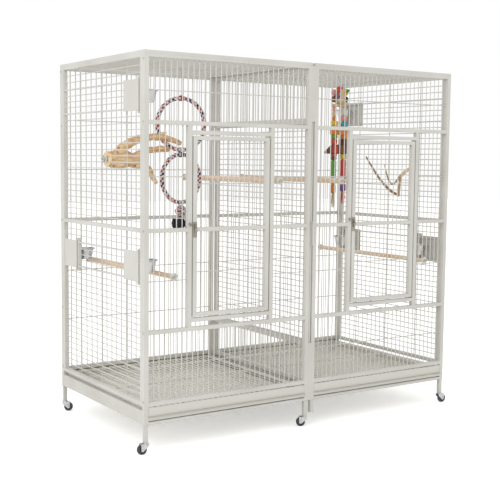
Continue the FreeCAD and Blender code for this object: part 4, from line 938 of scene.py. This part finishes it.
class CAGE_OT_string_block_toy(Operator):
    """A turned head over two columns of dyed blocks and beads, with crossbars and fibre tufts"""
    bl_idname = "cage.string_block_toy"
    bl_label = "String the block toy"

    PLACE = Vector((0.46, -0.0125, 0))
    TOP = 1.525
    COLUMN = 30 * MM  # from the middle to each column
    DYES = {"green": "67AA4C", "yellow": "EBC544", "orange": "E58A3A", "red": "D9534C", "black": "2E2A2C",
            "brown": "7A5238", "plain": "E2C49A", "pink": "E6A29B", "teal": "3FAFB6", "purple": "855A93",
            "pale": "DCE0D2"}
    GRAIN = (4 * MM, 4 * MM, 45 * MM)
    # pieces of a column, from the top: their kind, width, height and dye, in millimetres
    HEAD = (("bead", 30, 14, "red"), ("barrel", 56, 70, "plain"))
    # beads pegged into the head: their direction, height, width and dye, in millimetres
    PEGS = (((-1, 0, 0), 54, 30, "pink"), ((-1, 0, 0), 22, 30, "brown"), ((1, 0, 0), 54, 24, "yellow"),
            ((1, 0, 0), 24, 28, "black"), ((-0.8, -0.6, 0), 60, 20, "red"),
            ((-0.8, -0.6, 0), 34, 18, "purple"), ((0.8, -0.6, 0), 64, 16, "green"))
    PEG_LENGTH = 24 * MM
    PEG_SEAT = 23 * MM  # their inner ends, from the middle of the head
    # each tier: its crossbar's left end, width, depth, height and dye, then the two columns under it
    TIERS = (
        ((-42, 84, 20, 14, "plain"),
         (("bead", 20, 22, "pink"), ("bead", 20, 24, "plain"), ("bead", 20, 22, "orange"),
          ("bead", 38, 26, "yellow"), ("block", 34, 18, "brown")),
         (("bead", 22, 40, "pale"), ("bead", 30, 32, "pink"), ("bead", 36, 40, "teal"))),
        ((-50, 100, 22, 24, "orange"),
         (("bead", 34, 18, "green"), ("bead", 32, 28, "red")),
         (("bead", 34, 20, "orange"), ("block", 34, 26, "brown"))),
        ((-85, 130, 20, 46, "brown"),
         (("bead", 30, 12, "red"), ("bead", 28, 18, "brown"), ("barrel", 26, 118, "green"),
          ("bead", 24, 44, "orange"), ("tuft", 24, 74, "plain")),
         (("bead", 30, 26, "yellow"), ("barrel", 27, 118, "red"), ("bead", 28, 40, "purple"),
          ("tuft", 26, 64, "red"))),
    )
    LOG = 120 * MM  # a wider crossbar is split from a log
    POINT = 45 * MM  # length of the log's pointed end
    POINT_DROP = 0.36  # of the log's height, from the middle down to the tip
    POINT_TIP = (1, 0.5, 0.25)  # size of the tip, of the log's
    COLLAR = 36 * MM  # width of the bead that the log passes through
    GROOVE = 1.6 * MM  # radius of the round tool that turns a barrel's grooves
    GROOVE_OUT = 0.4 * MM  # the tool's middle, outside the barrel
    SAW_CUT = 1.6 * MM
    SAW_STEP = 26 * MM  # between saw cuts
    SAW_START = 4 * MM  # lifts each cut above the middle of its step
    FIBRES = 22
    FIBRE = 2.4 * MM
    SHOULDER = 0.3  # rounding of a bead, of its smaller measure
    SPIN = 9  # most that a strung piece is turned by chance, in degrees

    def dyed(self, name):
        """The wood of one dye, made when it is first asked for."""
        if name not in self.finishes:
            shade = linear(self.DYES[name])
            dark = darker(shade, 0.62)
            self.finishes[name] = sawn_wood(f"{name}_dyed_wood", shade, dark, self.GRAIN, 0.5)
        return self.finishes[name]

    def bead(self, width, height):
        """A turned bead: a cylinder with rounded shoulders."""
        piece = cylinder(width / 2, height, sides=28)
        modify(piece, "BEVEL", width=min(width, height) * self.SHOULDER, segments=5, limit_method="ANGLE")
        return smooth(piece)

    def barrel(self, width, height):
        """A larger turned piece with a groove at each third."""
        piece = self.bead(width, height)
        for share in (1 / 3, 2 / 3):
            level = (0, 0, height * share)
            cut(piece, ring_of(width / 2 + self.GROOVE_OUT, self.GROOVE, 36, location=level))
        return smooth(piece)

    def block(self, width, height):
        """A sawn block with eased edges, and where it is tall, saw cuts that a beak can work at."""
        piece = cube((width, width, height), (0, 0, height / 2))
        modify(piece, "BEVEL", width=2.2 * MM, segments=3)
        for number in range(int(height // self.SAW_STEP)):
            level = (number + 0.5) * self.SAW_STEP + self.SAW_START
            side = width * (0.5 if number % 2 else -0.5)
            cut(piece, cube((width * 0.5, width * 2, self.SAW_CUT), (side, 0, level)))
        return smooth(piece)

    def column(self, items, place):
        """Pieces strung below a place, and the place where they end."""
        parts = []
        draws = random.Random(len(items) + int(place.x * 1000))
        for kind, width, height, dye in items:
            width, height = width * MM, height * MM
            if kind == "tuft":
                parts.append(tuft(place, height, width / 2, self.FIBRES, self.FIBRE, self.dyed(dye), draws))
                break
            piece = finish(getattr(self, kind)(width, height), self.dyed(dye))
            place = place - Z_AXIS * height
            spin = Matrix.Rotation(math.radians(draws.uniform(-self.SPIN, self.SPIN)), 4, "Z")
            piece.matrix_world = Matrix.Translation(place) @ spin
            parts.append(settle(piece))
        return parts, place

    def crossbar(self, top, start, width, depth, height, point):
        """A bar that both columns are strung through. A log's left end is drawn out to a point."""
        middle = Vector((start + (width + point) / 2, 0, -height / 2))
        bar = cube((width - point, depth, height), top + middle)
        if point:
            choose_facing(bar, -X_AXIS)
            tip = (-point, 0, -self.POINT_DROP * height)
            bpy.ops.mesh.extrude_region_move(TRANSFORM_OT_translate={"value": tip})
            bpy.ops.transform.resize(value=self.POINT_TIP)
            bpy.ops.object.mode_set(mode="OBJECT")
        modify(bar, "BEVEL", width=3 * MM, segments=4)
        return smooth(bar)

    def execute(self, context):
        self.finishes = {}
        parts = hanger(self.PLACE, self.TOP, bright_zinc())
        head, place = self.column(self.HEAD, self.PLACE + Z_AXIS * self.TOP)
        parts += head
        for direction, height, width, dye in self.PEGS:
            peg = finish(self.bead(width * MM, self.PEG_LENGTH), self.dyed(dye))
            spot = place + Vector(direction) * self.PEG_SEAT + Z_AXIS * height * MM
            peg.matrix_world = Matrix.Translation(spot) @ towards(direction)
            parts.append(settle(peg))
        for (*measures, dye), *columns in self.TIERS:
            start, width, depth, height = [measure * MM for measure in measures]
            point = self.POINT if width > self.LOG else 0
            bar = self.crossbar(place, start, width, depth, height, point)
            parts.append(finish(bar, self.dyed(dye)))
            place = place - Z_AXIS * height
            if point:
                collar = finish(self.bead(self.COLLAR, height), self.dyed("red"))
                collar.matrix_world = Matrix.Translation(place - X_AXIS * self.COLUMN)
                parts.append(settle(collar))
            for side, items in zip((-1, 1), columns):
                pieces, end = self.column(items, place + X_AXIS * side * self.COLUMN)
                parts += pieces
            place = self.PLACE + Z_AXIS * end.z
        toy = joined(parts, "wood_toy")
        ride(toy, "wood_toy", "toy_wood", "block_toy")
        return {"FINISHED"}


class CAGE_OT_set_stage(Operator):
    """A pale floor, soft studio light and the camera"""
    bl_idname = "cage.set_stage"
    bl_label = "Set the stage"

    FLOOR = 40  # side of the floor
    FLOOR_GLOW = 0.42  # what the lamps leave the floor short of white
    WHITE = (1, 1, 1, 1)
    KEY_PLACE = Vector((-4.2, -2.7, 3.6))
    FILL_PLACE = Vector((3.8, -3.4, 3))
    LAMP_SIZE = 3
    LAMP_AIM = Vector((0, 0, 0.8))  # the middle of the cage

    def seen(self, tree):
        """1 for what the eye sees, also mirrored or through glass, and 0 for what lights the object."""
        path = add(tree, "ShaderNodeLightPath")
        rays = path.outputs["Is Camera Ray"]
        for ray in ("Is Glossy Ray", "Is Transmission Ray"):
            rays = add(tree, "ShaderNodeMath", {0: rays, 1: path.outputs[ray]},
                       operation="MAXIMUM").outputs["Value"]
        return rays

    def floor(self):
        """A floor that shows white to the eye and in reflections, and keeps the soft shadow."""
        floor = begin(bpy.ops.mesh.primitive_plane_add, size=self.FLOOR)
        floor.name = "floor"
        material, tree, shader = new_material("pale_floor", base_color=opaque(linear("F2F2F0")),
                                              emission_color=self.WHITE, roughness=0.9,
                                              specular_ior_level=0)
        glow = add(tree, "ShaderNodeMath", {0: self.seen(tree), 1: self.FLOOR_GLOW}, operation="MULTIPLY")
        tree.links.new(glow.outputs["Value"], shader.inputs["Emission Strength"])
        finish(floor, material)

    def world(self, context):
        """Even light from all round, which shows as plain white."""
        world = bpy.data.worlds.new("studio")
        context.scene.world = world
        world.use_nodes = True
        tree = world.node_tree
        strength = add(tree, "ShaderNodeMapRange", {"Value": self.seen(tree),
                                                    "To Min": settings("cage_stage").sky, "To Max": 1})
        background = tree.nodes["Background"]
        background.inputs["Color"].default_value = self.WHITE
        tree.links.new(strength.outputs["Result"], background.inputs["Strength"])

    def lamp(self, name, watts, place):
        """A large soft lamp that looks at the cage."""
        bpy.ops.object.select_all(action="DESELECT")
        bpy.ops.object.light_add(type="AREA", location=place)
        lamp = active()
        lamp.name = name
        lamp.data.energy = watts
        lamp.data.size = self.LAMP_SIZE
        lamp.rotation_euler = (self.LAMP_AIM - place).to_track_quat("-Z", "Y").to_euler()

    def camera(self, context):
        """The camera at the place and turn that the stage's settings give."""
        stage = settings("cage_stage")
        bpy.ops.object.select_all(action="DESELECT")
        bpy.ops.object.camera_add()
        camera = active()
        camera.data.lens = stage.lens
        level = math.cos(stage.pitch)
        ahead = Vector((math.sin(stage.yaw) * level, math.cos(stage.yaw) * level, -math.sin(stage.pitch)))
        right = Vector((math.cos(stage.yaw), -math.sin(stage.yaw), 0))
        over = right.cross(ahead)
        tilt = Matrix.Rotation(-stage.roll, 3, ahead)
        columns = Matrix((tilt @ right, tilt @ over, -ahead)).transposed()
        camera.matrix_world = Matrix.Translation(stage.eye) @ columns.to_4x4()
        context.scene.camera = camera

    def execute(self, context):
        stage = settings("cage_stage")
        self.floor()
        self.world(context)
        self.lamp("key", stage.key, self.KEY_PLACE)
        self.lamp("fill", stage.fill, self.FILL_PLACE)
        self.camera(context)
        context.scene.view_settings.view_transform = "Standard"
        return {"FINISHED"}


STEPS = (CAGE_OT_coat_frame, CAGE_OT_plate_hardware, CAGE_OT_finish_dowels, CAGE_OT_turn_bolts,
         CAGE_OT_fit_wing_nuts, CAGE_OT_carve_branch, CAGE_OT_grow_twig, CAGE_OT_tie_rope_toy,
         CAGE_OT_string_block_toy, CAGE_OT_set_stage)
GROUPS = {"cage_colours": CageColours, "cage_sizes": CageSizes, "cage_stage": StageSettings}


class CAGE_PT_sidebar(Panel):
    """The steps that finish the cage, and their settings"""
    bl_idname = "CAGE_PT_sidebar"
    bl_label = "Parrot cage"
    bl_space_type = "VIEW_3D"
    bl_region_type = "UI"
    bl_category = "Cage"

    def draw(self, context):
        for step in STEPS:
            self.layout.operator(step.bl_idname)
        for name, group in GROUPS.items():
            box = self.layout.box()
            for setting in group.__annotations__:
                box.prop(settings(name), setting)


def register():
    for kind in (*GROUPS.values(), *STEPS, CAGE_PT_sidebar):
        bpy.utils.register_class(kind)
    for name, group in GROUPS.items():
        setattr(bpy.types.Scene, name, PointerProperty(type=group))


def unregister():
    for name in GROUPS:
        delattr(bpy.types.Scene, name)
    for kind in (CAGE_PT_sidebar, *reversed(STEPS), *GROUPS.values()):
        bpy.utils.unregister_class(kind)


def main():
    register()
    bpy.ops.cage.coat_frame()
    bpy.ops.cage.plate_hardware()
    bpy.ops.cage.finish_dowels()
    bpy.ops.cage.turn_bolts()
    bpy.ops.cage.fit_wing_nuts()
    bpy.ops.cage.carve_branch()
    bpy.ops.cage.grow_twig()
    bpy.ops.cage.tie_rope_toy()
    bpy.ops.cage.string_block_toy()
    bpy.ops.cage.set_stage()


if __name__ == "__main__":
    main()
